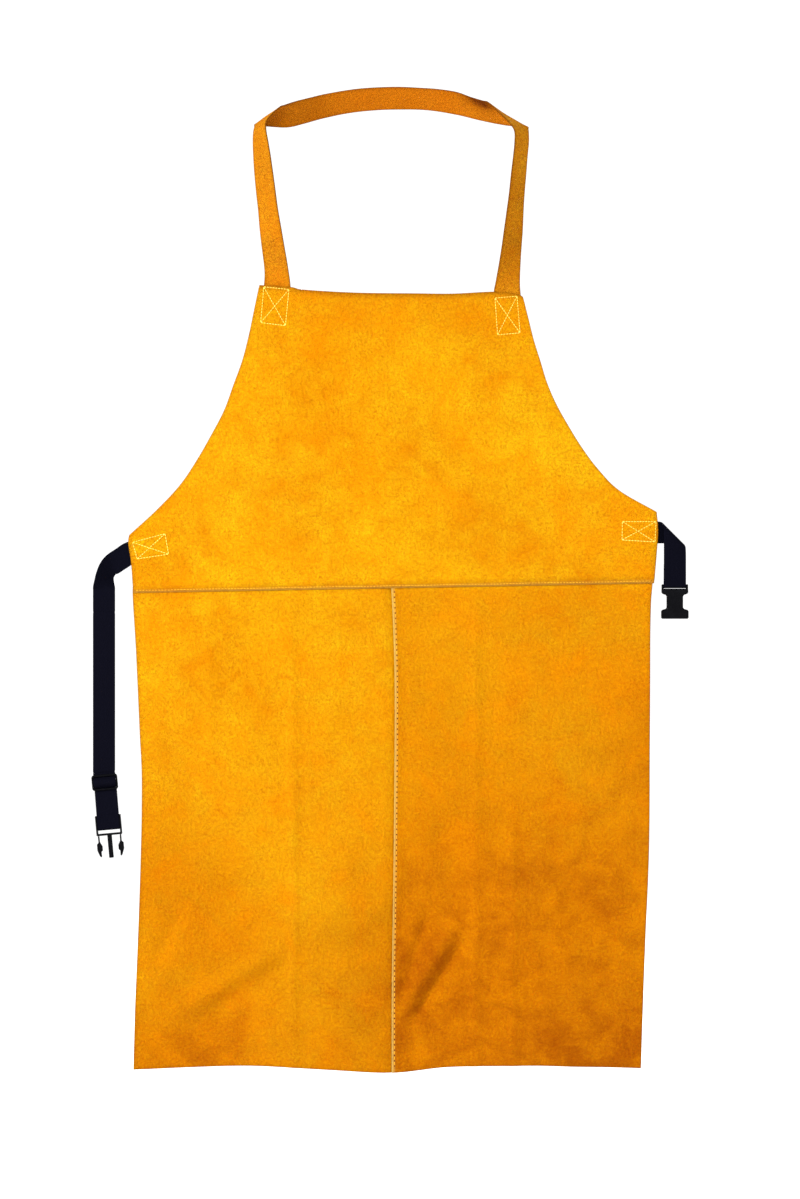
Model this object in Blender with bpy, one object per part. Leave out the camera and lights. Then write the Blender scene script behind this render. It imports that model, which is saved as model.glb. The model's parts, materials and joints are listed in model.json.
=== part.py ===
"""Welding apron of split leather with a neck strap and a buckled waist webbing.

Metres, +Z up. The apron hangs as it is worn: the front faces -Y, the wearer's left is at +X.
The origin is the lower edge of the neck strap at the back, where the neck or a peg carries it.
"""
import math

import bmesh
import bpy
from mathutils import Matrix, Vector

# How finely curves are stepped
CORNER_STEPS = 3
WRAP_STEP = math.radians(22)
ROD_SIDES = 14
SHARP_ANGLE = math.radians(40)

# Leather and sewing
LEATHER = 0.0014  # thickness of the split leather
PLY_GAP = 0.0003  # clearance between pieces sewn or laid face to face
BEND_GAP = 0.0005  # leather left out on each side of a bend line
SWING_GAP = 0.0008  # webbing left out below a line that it swings about
THREAD_WIDTH = 0.0009
THREAD_DEPTH = 0.0005

# Bib
BIB_Y = -0.085  # middle of the bib's thickness, in front of the wearer's neck
BIB_TOP_X = {"right": -0.1520, "left": 0.1445}  # the top corners
BIB_TOP_Z = -0.2178
BIB_TOP_SLOPE = -0.0294  # the bib's top edge drops towards the wearer's left
BIB_TOP_SAG = 0.0035
WAIST_WIDTH = 0.600
SIDE_CORNER_Z = {"right": -0.4974, "left": -0.4711}
# Share of the way out from top corner to side corner, at equal steps down each armhole.
ARMHOLE = {
    "right": (0.0, 0.04, 0.08, 0.13, 0.20, 0.27, 0.37, 0.48, 0.61, 0.79, 1.0),
    "left": (0.0, 0.04, 0.08, 0.13, 0.18, 0.25, 0.34, 0.44, 0.56, 0.72, 1.0),
}
WAIST_Z = -0.5580
WAIST_SLOPE = 0.0182  # the waist seam rises towards the wearer's left
WAIST_SEAM_INSET = 0.0035  # the side edges close in a little from corner to seam
SEAM_LAP = 0.012
SEAM_STITCH_INSET = 0.0025

# Skirt
SKIRT_HEIGHT = 0.549
HEM_WIDTH = 0.578
HEM_SHIFT = -0.0062  # the hem hangs off centre
SIDE_TUCK = 0.0085  # how far the right-hand side edge pulls in below the seam
CENTRE_SEAM_X = -0.0005
CENTRE_STEP = 0.009  # where the lower ply steps back under the upper one
CENTRE_STITCH_START = 0.0045  # below the bib's edge, so that the lifted skirt stays clear of it
FLUTE_DEPTH = 0.007
FLUTE_PITCH = 0.235
FLUTE_PHASE = 0.6
SKIRT_ROWS = 14
SKIRT_COLUMNS = 9  # on each panel, without the lap

# Neck strap: one leather band, here from the wearer's right bend to the left one.
STRAP_WIDTH = 0.030
STRAP_END_LENGTH = {"right": 0.0440, "left": 0.0475}
STRAP_BOX_MARGIN = 0.0014  # on each side of the sewn box
STRAP_BOX_LENGTH = 0.0410
STRAP_BOX_RISE = 0.0015  # from the strap's end up to its sewn box
STRAP_BEND_X = {"right": -0.1319, "left": 0.1303}
STRAP_END_LEAN = {"right": math.radians(5.2), "left": math.radians(-4.4)}
STRAP_STEPS = 5  # ribs between two stations
# Each station: middle of the band (x, y, z) and the way its width points (x, y, z), inner edge ahead.
STRAP_STATIONS = (
    ((-0.1330, -0.0830, -0.1950), (0.91, -0.41, -0.04)),
    ((-0.1380, -0.0820, -0.1605), (0.85, -0.53, 0.00)),
    ((-0.1430, -0.0810, -0.1225), (0.76, -0.65, 0.00)),
    ((-0.1480, -0.0790, -0.0805), (0.70, -0.72, 0.03)),
    ((-0.1520, -0.0760, -0.0505), (0.60, -0.80, 0.09)),
    ((-0.1525, -0.0700, -0.0330), (0.54, -0.84, 0.10)),
    ((-0.1475, -0.0560, -0.0195), (0.53, -0.78, 0.33)),
    ((-0.1335, -0.0420, -0.0150), (0.42, -0.61, 0.68)),
    ((-0.1100, -0.0300, -0.0085), (0.20, -0.45, 0.87)),
    ((-0.0770, -0.0185, 0.0015), (0.12, -0.50, 0.86)),
    ((-0.0415, -0.0120, 0.0085), (0.05, -0.60, 0.80)),
    ((0.0000, -0.0095, 0.0115), (0.00, -0.63, 0.77)),
    ((0.0400, -0.0115, 0.0100), (-0.04, -0.67, 0.74)),
    ((0.0725, -0.0170, 0.0045), (-0.05, -0.70, 0.71)),
    ((0.1000, -0.0285, -0.0060), (-0.13, -0.74, 0.66)),
    ((0.1220, -0.0420, -0.0145), (-0.33, -0.81, 0.49)),
    ((0.1375, -0.0560, -0.0230), (-0.47, -0.86, 0.18)),
    ((0.1450, -0.0665, -0.0330), (-0.53, -0.84, 0.00)),
    ((0.1465, -0.0720, -0.0460), (-0.55, -0.83, -0.05)),
    ((0.1450, -0.0765, -0.0680), (-0.55, -0.83, -0.08)),
    ((0.1410, -0.0795, -0.1110), (-0.59, -0.80, -0.08)),
    ((0.1375, -0.0810, -0.1490), (-0.70, -0.71, -0.07)),
    ((0.1335, -0.0825, -0.1855), (-0.81, -0.58, -0.06)),
    ((0.1310, -0.0830, -0.2090), (-0.92, -0.38, -0.02)),
)

# Webbing, sewn behind the bib's side corners
WEBBING_WIDTH = 0.0245
WEBBING = 0.0012  # thickness
SEWN_TAIL = 0.046  # how far a webbing tail reaches in behind the leather
WAIST_BOX_LENGTH = 0.0375
WAIST_BOX_MARGIN = 0.0015
WAIST_BOX_INSET = {"right": 0.0060, "left": 0.0010}  # from the leather's side edge
RIGHT_EXIT_BELOW = 0.0203  # from the side corner down to where the long webbing leaves the edge
RIGHT_EXIT_DROP = math.radians(14.8)
# The long webbing's turn to hanging straight: middle (outwards, y, z) from that point, width way.
RIGHT_TURN = (
    ((-0.0085, -0.0003, -0.0055), (0.33, 0.00, -0.94)),
    ((-0.0175, -0.0010, -0.0115), (0.54, 0.12, -0.84)),
    ((-0.0245, -0.0018, -0.0175), (0.66, 0.52, -0.50)),
    ((-0.0285, -0.0022, -0.0260), (0.74, 0.62, -0.22)),
    ((-0.0295, -0.0023, -0.0350), (0.88, 0.44, -0.06)),
)
RIGHT_HANG = (-0.0295, -0.0024, -0.0483)  # from that point to the middle of its swing line
LEFT_EXIT_BELOW = 0.0233
LEFT_HANG_OUT = 0.00875  # from the leather's side edge to the near edge of the short hanging run
LEFT_FOLD_RADIUS = 0.0045  # the loose diagonal fold that turns the short webbing down
LEFT_FOLD_STEPS = 8
LEFT_SWING_BELOW = 0.01335  # from the exit's lower edge down to the swing line

# Adjuster and side-release buckle, in their own frame: x across, u down the webbing, y depth
BAR_RADIUS = 0.0013
FIT_GAP = 0.0003  # between webbing, bars and other webbing
COCK = math.radians(5.2)  # the lower webbing leans towards the apron
ADJUSTER_BELOW = 0.2133  # from the long webbing's swing line
SIDE_GAP = 0.00035  # on each side of webbing inside a buckle
ADJUSTER_HEIGHT = 0.0180
ADJUSTER_RAIL = 0.0022
ADJUSTER_CORNER = 0.0030
ADJUSTER_EDGE = 0.0007
ADJUSTER_LEAD = 0.0020  # the run is straight down to this far above the adjuster
SEWN_END = 0.018  # end of the doubled webbing, below the adjuster's middle
MALE_PIVOT = 0.0390  # adjuster's middle to the male buckle's upper bar
SWING_ROOM = 0.0018  # webbing left out above that bar, so that the buckle can swing
MALE_RAIL = 0.0020
MALE_BARS = 0.0125  # upper bar to lower bar
MALE_BAR_RADIUS = 0.0015
MALE_SHOULDER = (0.0191, 0.0214)  # from the upper bar
MALE_DEPTH = 0.0064
MALE_EDGE = 0.0006
GUIDE_WIDTH = 0.0052
GUIDE_DEPTH = 0.0032
GUIDE_END = 0.0473
PRONG_INSET = 0.0021  # stem's middle from the male buckle's side
PRONG_STEM = 0.0016
PRONG_DEPTH = 0.0048
PRONG_EDGE = 0.0004
# The prong's outline from its root, x from the stem's middle and u from the root, outer side first.
PRONG_NOSE = (
    (0.0007, 0.0068), (0.0013, 0.0080), (0.0027, 0.0090), (0.0027, 0.0162), (0.0003, 0.0228),
    (-0.0011, 0.0243), (-0.0019, 0.0236), (-0.0017, 0.0180), (-0.0034, 0.0167), (-0.0034, 0.0114),
    (-0.0020, 0.0090), (-0.0009, 0.0066),
)
FEMALE_EAR = 0.0025  # thickness of the ears that carry its bar
FEMALE_SIDES = (0.0, -0.0059, 0.0004)  # bar end, waist and mouth end, outwards from the ears
FEMALE_STEPS = (0.0090, 0.0110, 0.0261, 0.0280, 0.0378)  # where those widths change, from its bar
FEMALE_DEPTH = 0.0100
FEMALE_WALL = 0.0020
FEMALE_BAR_BELOW = 0.0352  # from the short webbing's swing line
FEMALE_BODY_TOP = 0.0034
FEMALE_CAVITY_TOP = 0.0085
FEMALE_EDGE = 0.0012
EAR_EDGE = 0.0006
LEFT_END_BELOW = 0.0100  # the short webbing's sewn end, below its swing line
STITCH_EDGE = 0.0022  # thread to the webbing's edges and ends
SEWN_ROWS = 0.0060  # between the two rows across a sewn loop


def clear_scene():
    for obj in list(bpy.data.objects):
        bpy.data.objects.remove(obj, do_unlink=True)
    for mesh in list(bpy.data.meshes):
        bpy.data.meshes.remove(mesh)


def make_material(name, color, roughness, metallic=0.0):
    material = bpy.data.materials.new(name)
    material.use_nodes = True
    shader = material.node_tree.nodes["Principled BSDF"]
    shader.inputs["Base Color"].default_value = (*color, 1.0)
    shader.inputs["Roughness"].default_value = roughness
    shader.inputs["Metallic"].default_value = metallic
    return material


def make_materials():
    return {
        "leather": make_material("golden_split_leather", (0.86, 0.42, 0.02), 0.9),
        "strap": make_material("tan_strap_leather", (0.70, 0.30, 0.02), 0.88),
        "webbing": make_material("black_webbing", (0.012, 0.012, 0.018), 0.8),
        "plastic": make_material("black_moulded_plastic", (0.010, 0.010, 0.013), 0.4),
        "thread": make_material("cream_thread", (0.95, 0.76, 0.28), 0.6),
    }


def add_object(name, mesh, material, origin=(0.0, 0.0, 0.0)):
    """Link a mesh given in world space as an object whose origin is at a chosen point."""
    mesh.transform(Matrix.Translation(-Vector(origin)))
    obj = bpy.data.objects.new(name, mesh)
    obj.location = origin
    mesh.materials.append(material)
    bpy.context.scene.collection.objects.link(obj)
    return obj


def mesh_from(name, vertices, faces):
    mesh = bpy.data.meshes.new(name)
    mesh.from_pydata([tuple(v) for v in vertices], [], faces)
    work = bmesh.new()
    work.from_mesh(mesh)
    bmesh.ops.recalc_face_normals(work, faces=work.faces)
    work.to_mesh(mesh)
    work.free()
    return mesh


def sheet_mesh(name, front, back):
    """A closed sheet between two grids of points of the same size, as rows of points."""
    rows = len(front)
    columns = len(front[0])
    vertices = [p for row in front for p in row] + [p for row in back for p in row]
    half = rows * columns

    def at(row, column, side):
        return side * half + row * columns + column

    faces = []
    for row in range(rows - 1):
        for column in range(columns - 1):
            for side in (0, 1):
                a, b = at(row, column, side), at(row, column + 1, side)
                c, d = at(row + 1, column + 1, side), at(row + 1, column, side)
                faces += [(a, b, c), (a, c, d)]
    rim = [(0, c) for c in range(columns)]
    rim += [(r, columns - 1) for r in range(1, rows)]
    rim += [(rows - 1, c) for c in range(columns - 2, -1, -1)]
    rim += [(r, 0) for r in range(rows - 2, 0, -1)]
    for here, there in zip(rim, rim[1:] + rim[:1]):
        faces.append((at(*here, 0), at(*there, 0), at(*there, 1), at(*here, 1)))
    return mesh_from(name, vertices, faces)


def ribbon_mesh(name, ribs, thickness):
    """A strip from its ribs, each one edge point, the other edge point and the face's normal."""
    half = thickness / 2
    front = [(a + n * half, b + n * half) for a, b, n in ribs]
    back = [(a - n * half, b - n * half) for a, b, n in ribs]
    return sheet_mesh(name, front, back)


def slab_mesh(name, outline, depth, low_y):
    """An outline of (x, z) points carried along Y."""
    count = len(outline)
    vertices = [(x, low_y, z) for x, z in outline]
    vertices += [(x, low_y + depth, z) for x, z in outline]
    faces = [tuple(range(count)), tuple(range(2 * count - 1, count - 1, -1))]
    for here in range(count):
        there = (here + 1) % count
        faces.append((here, there, count + there, count + here))
    return mesh_from(name, vertices, faces)


def smooth_path(points, steps):
    """Points on the curve through the given vectors, with even steps between each two."""
    padded = [2 * points[0] - points[1], *points, 2 * points[-1] - points[-2]]
    path = []
    for a, b, c, d in zip(padded, padded[1:], padded[2:], padded[3:]):
        for step in range(steps):
            t = step / steps
            path.append(
                0.5
                * (
                    2 * b
                    + (c - a) * t
                    + (2 * a - 5 * b + 4 * c - d) * t**2
                    + (3 * b - a - 3 * c + d) * t**3
                )
            )
    return path + [points[-1]]


def ribs_through(stations, width, steps, forward):
    """Ribs of a band through stations of (middle, way of its width), square to its run.

    forward is the way that the band's outer face looks at its first rib.
    """
    middles = smooth_path([Vector(middle) for middle, _ in stations], steps)
    ways = smooth_path([Vector(way).normalized() for _, way in stations], steps)
    ribs = []
    for index, (middle, way) in enumerate(zip(middles, ways)):
        ahead = middles[min(index + 1, len(middles) - 1)]
        behind = middles[max(index - 1, 0)]
        run = (ahead - behind).normalized()
        across = (way - way.dot(run) * run).normalized()
        normal = run.cross(across)
        if index == 0:
            turn = 1 if normal.dot(Vector(forward)) > 0 else -1
        ribs.append((middle - across * width / 2, middle + across * width / 2, turn * normal))
    return ribs


def neck_line_z(x):
    """Height of the bend line between the neck strap and the bib."""
    return BIB_TOP_Z + BIB_TOP_SLOPE * x


def waist_line_z(x):
    """Height of the bib's lower edge, where the skirt bends."""
    return WAIST_Z + WAIST_SLOPE * x


def adjuster_width():
    """Overall width of the adjuster, round the webbing."""
    return WEBBING_WIDTH + 2 * (SIDE_GAP + ADJUSTER_RAIL)


def male_width():
    """Overall width of the male buckle's frame, round the webbing."""
    return WEBBING_WIDTH + 2 * (SIDE_GAP + MALE_RAIL)


def right_exit():
    """Where the long webbing's middle leaves the leather's side edge."""
    return Vector((-WAIST_WIDTH / 2, tail_ply_y(), SIDE_CORNER_Z["right"] - RIGHT_EXIT_BELOW))


def right_swing():
    """Middle of the line that the long hanging run swings about."""
    return right_exit() + Vector(RIGHT_HANG)


def left_exit_z():
    """Height of the short webbing's middle where it leaves the leather's side edge."""
    return SIDE_CORNER_Z["left"] - LEFT_EXIT_BELOW


def left_swing():
    """Middle of the line that the short hanging run swings about."""
    x = WAIST_WIDTH / 2 + LEFT_HANG_OUT + WEBBING_WIDTH / 2
    z = left_exit_z() - WEBBING_WIDTH / 2 - LEFT_SWING_BELOW
    return Vector((x, tail_ply_y() - 2 * LEFT_FOLD_RADIUS, z))


def armhole(side, sign):
    """(x, z) points down one armhole, from the bib's top corner to its side corner."""
    top = Vector((BIB_TOP_X[side], neck_line_z(BIB_TOP_X[side]) - BEND_GAP))
    corner = Vector((sign * WAIST_WIDTH / 2, SIDE_CORNER_Z[side]))
    steps = len(ARMHOLE[side]) - 1
    shares = [Vector((out, step / steps)) for step, out in enumerate(ARMHOLE[side])]
    points = []
    for out, down in smooth_path(shares, 2):
        points.append((top.x + (corner.x - top.x) * out, top.y + (corner.y - top.y) * down))
    return points


def bib_panel(materials):
    right = armhole("right", -1)
    left = armhole("left", 1)
    top = []
    for step in range(1, 8):
        s = step / 8
        x = right[0][0] + (left[0][0] - right[0][0]) * s
        top.append((x, neck_line_z(x) - BEND_GAP - BIB_TOP_SAG * 4 * s * (1 - s)))
    seam_x = WAIST_WIDTH / 2 - WAIST_SEAM_INSET
    bottom = [(seam_x, waist_line_z(seam_x)), (-seam_x, waist_line_z(-seam_x))]
    outline = [right[0], *top, *left, *bottom, *right[:0:-1]]
    mesh = slab_mesh("bib_panel", outline, LEATHER, BIB_Y - LEATHER / 2)
    hinge = (0.0, strap_ply_y(), neck_line_z(0.0))
    return add_object("bib_panel", mesh, materials["leather"], hinge)


def strap_ply_y():
    """Middle of whatever is sewn face to face behind the bib's leather."""
    return BIB_Y + LEATHER / 2 + PLY_GAP + LEATHER / 2


def tail_ply_y():
    """Middle of the webbing that is sewn behind the bib's leather."""
    return BIB_Y + LEATHER / 2 + PLY_GAP + WEBBING / 2


def skirt_front_y():
    """Front face of the skirt's leather, under the bib's lower edge."""
    return BIB_Y + LEATHER / 2 + PLY_GAP


def skirt_side_x(t, sign):
    """x of a side edge at a share t of the way from seam to hem."""
    top = sign * (WAIST_WIDTH / 2 - WAIST_SEAM_INSET)
    hem = sign * HEM_WIDTH / 2 + HEM_SHIFT
    tuck = SIDE_TUCK * math.sin(math.pi * min(t * 1.1, 1.0)) if sign < 0 else 0.0
    return top + (hem - top) * t + tuck


def skirt_point(x, row, rows):
    """A point of the skirt's front face: row 0 is the lap's top edge, row 1 the bib's edge."""
    t = (row - 1) / (rows - 1)
    z = waist_line_z(x) + SEAM_LAP if row == 0 else WAIST_Z - SKIRT_HEIGHT * t
    if row > 0:
        z += WAIST_SLOPE * x * (1 - t)
    flute = FLUTE_DEPTH * max(t, 0.0) ** 1.5
    swing = math.sin(2 * math.pi * x / FLUTE_PITCH + FLUTE_PHASE)
    return Vector((x, skirt_front_y() + flute * swing, z))


def skirt_panel(name, sign, materials):
    """One lower panel. The one at the wearer's left laps over the other at the centre seam."""
    lap = [CENTRE_SEAM_X, CENTRE_SEAM_X + SEAM_LAP]
    inner = lap[1] if sign > 0 else CENTRE_SEAM_X - CENTRE_STEP
    front = []
    back = []
    for row in range(SKIRT_ROWS + 1):
        side = skirt_side_x(max((row - 1) / (SKIRT_ROWS - 1), 0.0), sign)
        spread = [inner + (side - inner) * c / SKIRT_COLUMNS for c in range(SKIRT_COLUMNS + 1)]
        if sign > 0:
            xs = [lap[0], *spread]
            step_back = [0.0] * len(xs)
        else:
            xs = [*spread[::-1], *lap]
            step_back = [0.0] * len(spread) + [LEATHER + PLY_GAP] * 2
        row_front = []
        for x, behind in zip(xs, step_back):
            row_front.append(skirt_point(x, row, SKIRT_ROWS) + Vector((0, behind, 0)))
        front.append(row_front)
        back.append([p + Vector((0, LEATHER, 0)) for p in row_front])
    mesh = sheet_mesh(name, front, back)
    return add_object(name, mesh, materials["leather"], (0.0, skirt_front_y(), WAIST_Z))


def strap_end(side, materials):
    """The end of the neck strap that is sewn behind the bib, as a leaning rectangle."""
    x = STRAP_BEND_X[side]
    lean = STRAP_END_LEAN[side]
    top = Vector((x, strap_ply_y(), neck_line_z(x) - BEND_GAP))
    down = Vector((-math.sin(lean), 0, -math.cos(lean)))
    across = Vector((math.cos(lean), 0, -math.sin(lean))) * STRAP_WIDTH / 2
    level = Vector((1, 0, BIB_TOP_SLOPE)) * STRAP_WIDTH / 2
    normal = Vector((0, -1, 0))
    low = top + down * STRAP_END_LENGTH[side]
    ribs = [(top - level, top + level, normal), (low - across, low + across, normal)]
    name = f"neck_strap_end_{side}"
    return add_object(name, ribbon_mesh(name, ribs, LEATHER), materials["strap"], top)


def neck_strap(materials):
    """The free part of the neck strap, from bend line to bend line around the neck."""
    ends = {}
    for side, x in STRAP_BEND_X.items():
        ends[side] = Vector((x, strap_ply_y(), neck_line_z(x) + BEND_GAP))
    level = (1, 0, BIB_TOP_SLOPE)
    stations = [(ends["right"], level), *STRAP_STATIONS, (ends["left"], tuple(-c for c in level))]
    ribs = ribs_through(stations, STRAP_WIDTH, STRAP_STEPS, (0, -1, 0))
    for index, side, way in ((0, "right", 1), (-1, "left", -1)):
        reach = Vector(level).normalized() * way * STRAP_WIDTH / 2
        ribs[index] = (ends[side] - reach, ends[side] + reach, Vector((0, -1, 0)))
    return add_object("neck_strap", ribbon_mesh("neck_strap", ribs, LEATHER), materials["strap"])


def box_stitch(name, centre, size, lean, materials):
    """A sewn box with a cross in it, as one flat thread pattern. centre is its front face."""
    half_x, half_z = size[0] / 2, size[1] / 2
    w = THREAD_WIDTH
    outer = [(-half_x, -half_z), (half_x, -half_z), (half_x, half_z), (-half_x, half_z)]
    long_way = math.hypot(half_x, half_z)
    slant_x = w / 2 * long_way / half_z
    slant_z = w / 2 * long_way / half_x
    in_x, in_z = half_x - w, half_z - w
    near_x = in_x - slant_x
    near_z = in_z - slant_z
    bottom = [(-near_x, -in_z), (near_x, -in_z), (0, -slant_z)]
    right = [(in_x, -near_z), (in_x, near_z), (slant_x, 0)]
    top = [(near_x, in_z), (-near_x, in_z), (0, slant_z)]
    left = [(-in_x, near_z), (-in_x, -near_z), (-slant_x, 0)]
    flat = [*outer, *bottom, *right, *top, *left]
    faces = [
        (0, 1, 5, 4), (1, 2, 8, 7), (2, 3, 11, 10), (3, 0, 14, 13),
        (0, 4, 14), (1, 7, 5), (2, 10, 8), (3, 13, 11),
        (4, 6, 15, 14), (5, 7, 9, 6), (8, 10, 12, 9), (11, 13, 15, 12),
        (6, 9, 12, 15),
    ]
    loops = [[0, 1, 2, 3], [4, 5, 6], [7, 8, 9], [10, 11, 12], [13, 14, 15]]
    turn = Matrix.Rotation(lean, 4, "Y")
    vertices = []
    for depth in (0.0, THREAD_DEPTH):
        for x, z in flat:
            vertices.append(Vector(centre) + turn @ Vector((x, depth, z)))
    count = len(flat)
    solid = list(faces) + [tuple(count + i for i in face[::-1]) for face in faces]
    for loop in loops:
        for here, there in zip(loop, loop[1:] + loop[:1]):
            solid.append((here, there, count + there, count + here))
    return add_object(name, mesh_from(name, vertices, solid), materials["thread"], centre)


def strap_boxes(materials):
    """The boxed crosses that hold the neck strap's ends, seen on the leather and behind the strap."""
    for side, x in STRAP_BEND_X.items():
        lean = STRAP_END_LEAN[side]
        reach = STRAP_END_LENGTH[side] - STRAP_BOX_RISE - STRAP_BOX_LENGTH / 2
        centre_x = x - math.sin(lean) * reach
        centre_z = neck_line_z(x) - BEND_GAP - math.cos(lean) * reach
        front_y = BIB_Y - LEATHER / 2 - PLY_GAP - THREAD_DEPTH
        back_y = strap_ply_y() + LEATHER / 2 + PLY_GAP
        size = (STRAP_WIDTH - 2 * STRAP_BOX_MARGIN, STRAP_BOX_LENGTH)
        for face, y in (("front", front_y), ("back", back_y)):
            name = f"neck_stitch_{side}_{face}"
            box_stitch(name, (centre_x, y, centre_z), size, lean, materials)


def waist_boxes(materials):
    """The boxed crosses that hold the webbing tails."""
    size = (WAIST_BOX_LENGTH, WEBBING_WIDTH - 2 * WAIST_BOX_MARGIN)
    inset = {side: size[0] / 2 + gap for side, gap in WAIST_BOX_INSET.items()}
    leave = right_exit()
    right = (
        leave.x + inset["right"] * math.cos(RIGHT_EXIT_DROP),
        leave.z + inset["right"] * math.sin(RIGHT_EXIT_DROP),
    )
    left = (WAIST_WIDTH / 2 - inset["left"], left_exit_z())
    front_y = BIB_Y - LEATHER / 2 - PLY_GAP - THREAD_DEPTH
    back_y = tail_ply_y() + WEBBING / 2 + PLY_GAP
    for side, (x, z), lean in (("right", right, -RIGHT_EXIT_DROP), ("left", left, 0.0)):
        for face, y in (("front", front_y), ("back", back_y)):
            box_stitch(f"waist_stitch_{side}_{face}", (x, y, z), size, lean, materials)


def waist_seam(face, materials):
    """The line of thread along the waist seam, on the bib's face or behind the skirt's lap."""
    half = WAIST_WIDTH / 2 - WAIST_SEAM_INSET - THREAD_WIDTH
    if face == "front":
        low_y = BIB_Y - LEATHER / 2 - PLY_GAP - THREAD_DEPTH
    else:
        low_y = skirt_front_y() + 2 * (LEATHER + PLY_GAP)
    outline = []
    for x, rise in ((-half, 0), (half, 0), (half, THREAD_WIDTH), (-half, THREAD_WIDTH)):
        outline.append((x, waist_line_z(x) + SEAM_STITCH_INSET + rise))
    name = f"waist_seam_{face}"
    mesh = slab_mesh(name, outline, THREAD_DEPTH, low_y)
    origin = (0.0, skirt_front_y(), WAIST_Z)
    return add_object(name, mesh, materials["thread"], origin)


def centre_seam(face, materials):
    """The line of thread down the centre seam, which follows the skirt's flutes."""
    x = CENTRE_SEAM_X + SEAM_STITCH_INSET
    behind = -(PLY_GAP + THREAD_DEPTH) if face == "front" else 2 * (LEATHER + PLY_GAP)
    front = []
    back = []
    for row in range(1, SKIRT_ROWS + 1):
        ends = []
        for across in (x, x + THREAD_WIDTH):
            # on the lap's chord between its two grid lines, so that the gap stays the same
            share = (across - CENTRE_SEAM_X) / SEAM_LAP
            a = skirt_point(CENTRE_SEAM_X, row, SKIRT_ROWS)
            b = skirt_point(CENTRE_SEAM_X + SEAM_LAP, row, SKIRT_ROWS)
            ends.append(a.lerp(b, share) + Vector((0, behind, 0)))
        if row == 1:
            ends = [p - Vector((0, 0, CENTRE_STITCH_START)) for p in ends]
        front.append(ends)
        back.append([p + Vector((0, THREAD_DEPTH, 0)) for p in ends])
    name = f"centre_seam_{face}"
    origin = (0.0, skirt_front_y(), WAIST_Z)
    return add_object(name, sheet_mesh(name, front, back), materials["thread"], origin)


def webbing_tail_right(materials):
    """The long webbing's sewn tail and its soft turn down to where it starts to hang."""
    run = Vector((-math.cos(RIGHT_EXIT_DROP), 0, -math.sin(RIGHT_EXIT_DROP)))
    across = Vector((-run.z, 0, run.x))
    exit_point = right_exit()
    stations = [
        (exit_point - run * SEWN_TAIL, across),
        (exit_point - run * SEWN_TAIL / 2, across),
        (exit_point, across),
    ]
    for middle, way in RIGHT_TURN:
        stations.append((exit_point + Vector(middle), Vector(way)))
    end = right_swing() + Vector((0, 0, FIT_GAP))
    stations += [(end + Vector((0, 0, 0.006)), Vector((1, 0, 0))), (end, Vector((1, 0, 0)))]
    ribs = ribs_through(stations, WEBBING_WIDTH, 3, (0, -1, 0))
    mesh = ribbon_mesh("webbing_tail_right", ribs, WEBBING)
    return add_object("webbing_tail_right", mesh, materials["webbing"], exit_point)


def webbing_tail_left(materials):
    """The short webbing's sewn tail, folded once on the diagonal to hang down in front."""
    y = tail_ply_y()
    w = WEBBING_WIDTH
    r = LEFT_FOLD_RADIUS
    top_z = left_exit_z() + w / 2
    swing = left_swing()
    # the strip's own coordinates: s along it from x = 0, v down from its upper edge
    mirror_s = swing.x - w / 2
    tangent_s = mirror_s - math.pi * r / 2 * math.sqrt(2)
    diagonal = Vector((1, 0, 1)).normalized()

    def rib(s_top, s_low, angle):
        """The rib through two edge points, an angle of the wrap past the fold's start."""
        points = []
        for s, v in ((s_top, 0.0), (s_low, w)):
            past = (s - tangent_s - v) / math.sqrt(2)
            flat = Vector((s, y, top_z - v)) - diagonal * past
            wrapped = min(past, math.pi * r)
            turned = wrapped / r
            place = flat + diagonal * r * math.sin(turned) if past > 0 else flat + diagonal * past
            if past > 0:
                place -= Vector((0, r * (1 - math.cos(turned)), 0))
                place -= diagonal * (past - wrapped)
            points.append(place)
        normal = Vector((0, -math.cos(angle), 0)) - diagonal * math.sin(angle)
        return points[0], points[1], normal

    start_s = WAIST_WIDTH / 2 - SEWN_TAIL
    ribs = [rib(start_s, start_s, 0.0)]
    for step in range(LEFT_FOLD_STEPS + 1):
        angle = math.pi * step / LEFT_FOLD_STEPS
        s_top = tangent_s + angle * r * math.sqrt(2)
        ribs.append(rib(s_top, s_top + w, angle))
    length = top_z - (swing.z + FIT_GAP)
    ribs.append(rib(mirror_s + length, mirror_s + length, math.pi))
    mesh = ribbon_mesh("webbing_tail_left", ribs, WEBBING)
    origin = (WAIST_WIDTH / 2, y, left_exit_z())
    return add_object("webbing_tail_left", mesh, materials["webbing"], origin)


def belt_path(wheels):
    """The way of a belt over wheels (u, y, radius, side), side +1 where it passes at +y.

    The first and last wheel have radius 0 and are end points. Between two wheels the belt runs
    straight, touching both, and on each wheel it follows the rim, as a list of (u, y) points.
    """
    spans = []
    for (u0, y0, r0, k0), (u1, y1, r1, k1) in zip(wheels, wheels[1:]):
        du, dy = u1 - u0, y1 - y0
        lift = math.asin((k0 * r0 - k1 * r1) / math.hypot(du, dy))
        square = math.atan2(dy, du) + math.pi / 2 - lift
        away = Vector((math.cos(square), math.sin(square)))
        spans.append((Vector((u0, y0)) + k0 * r0 * away, Vector((u1, y1)) + k1 * r1 * away))
    path = [tuple(spans[0][0])]
    for (_, arrive), (leave, _), (u, y, radius, side) in zip(spans, spans[1:], wheels[1:-1]):
        first = math.atan2(arrive[1] - y, arrive[0] - u)
        last = math.atan2(leave[1] - y, leave[0] - u)
        sweep = (first - last) * side % (2 * math.pi)
        count = max(1, round(sweep / WRAP_STEP))
        for index in range(count + 1):
            angle = first - side * sweep * index / count
            path.append((u + radius * math.cos(angle), y + radius * math.sin(angle)))
    return path + [tuple(spans[-1][1])]


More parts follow.
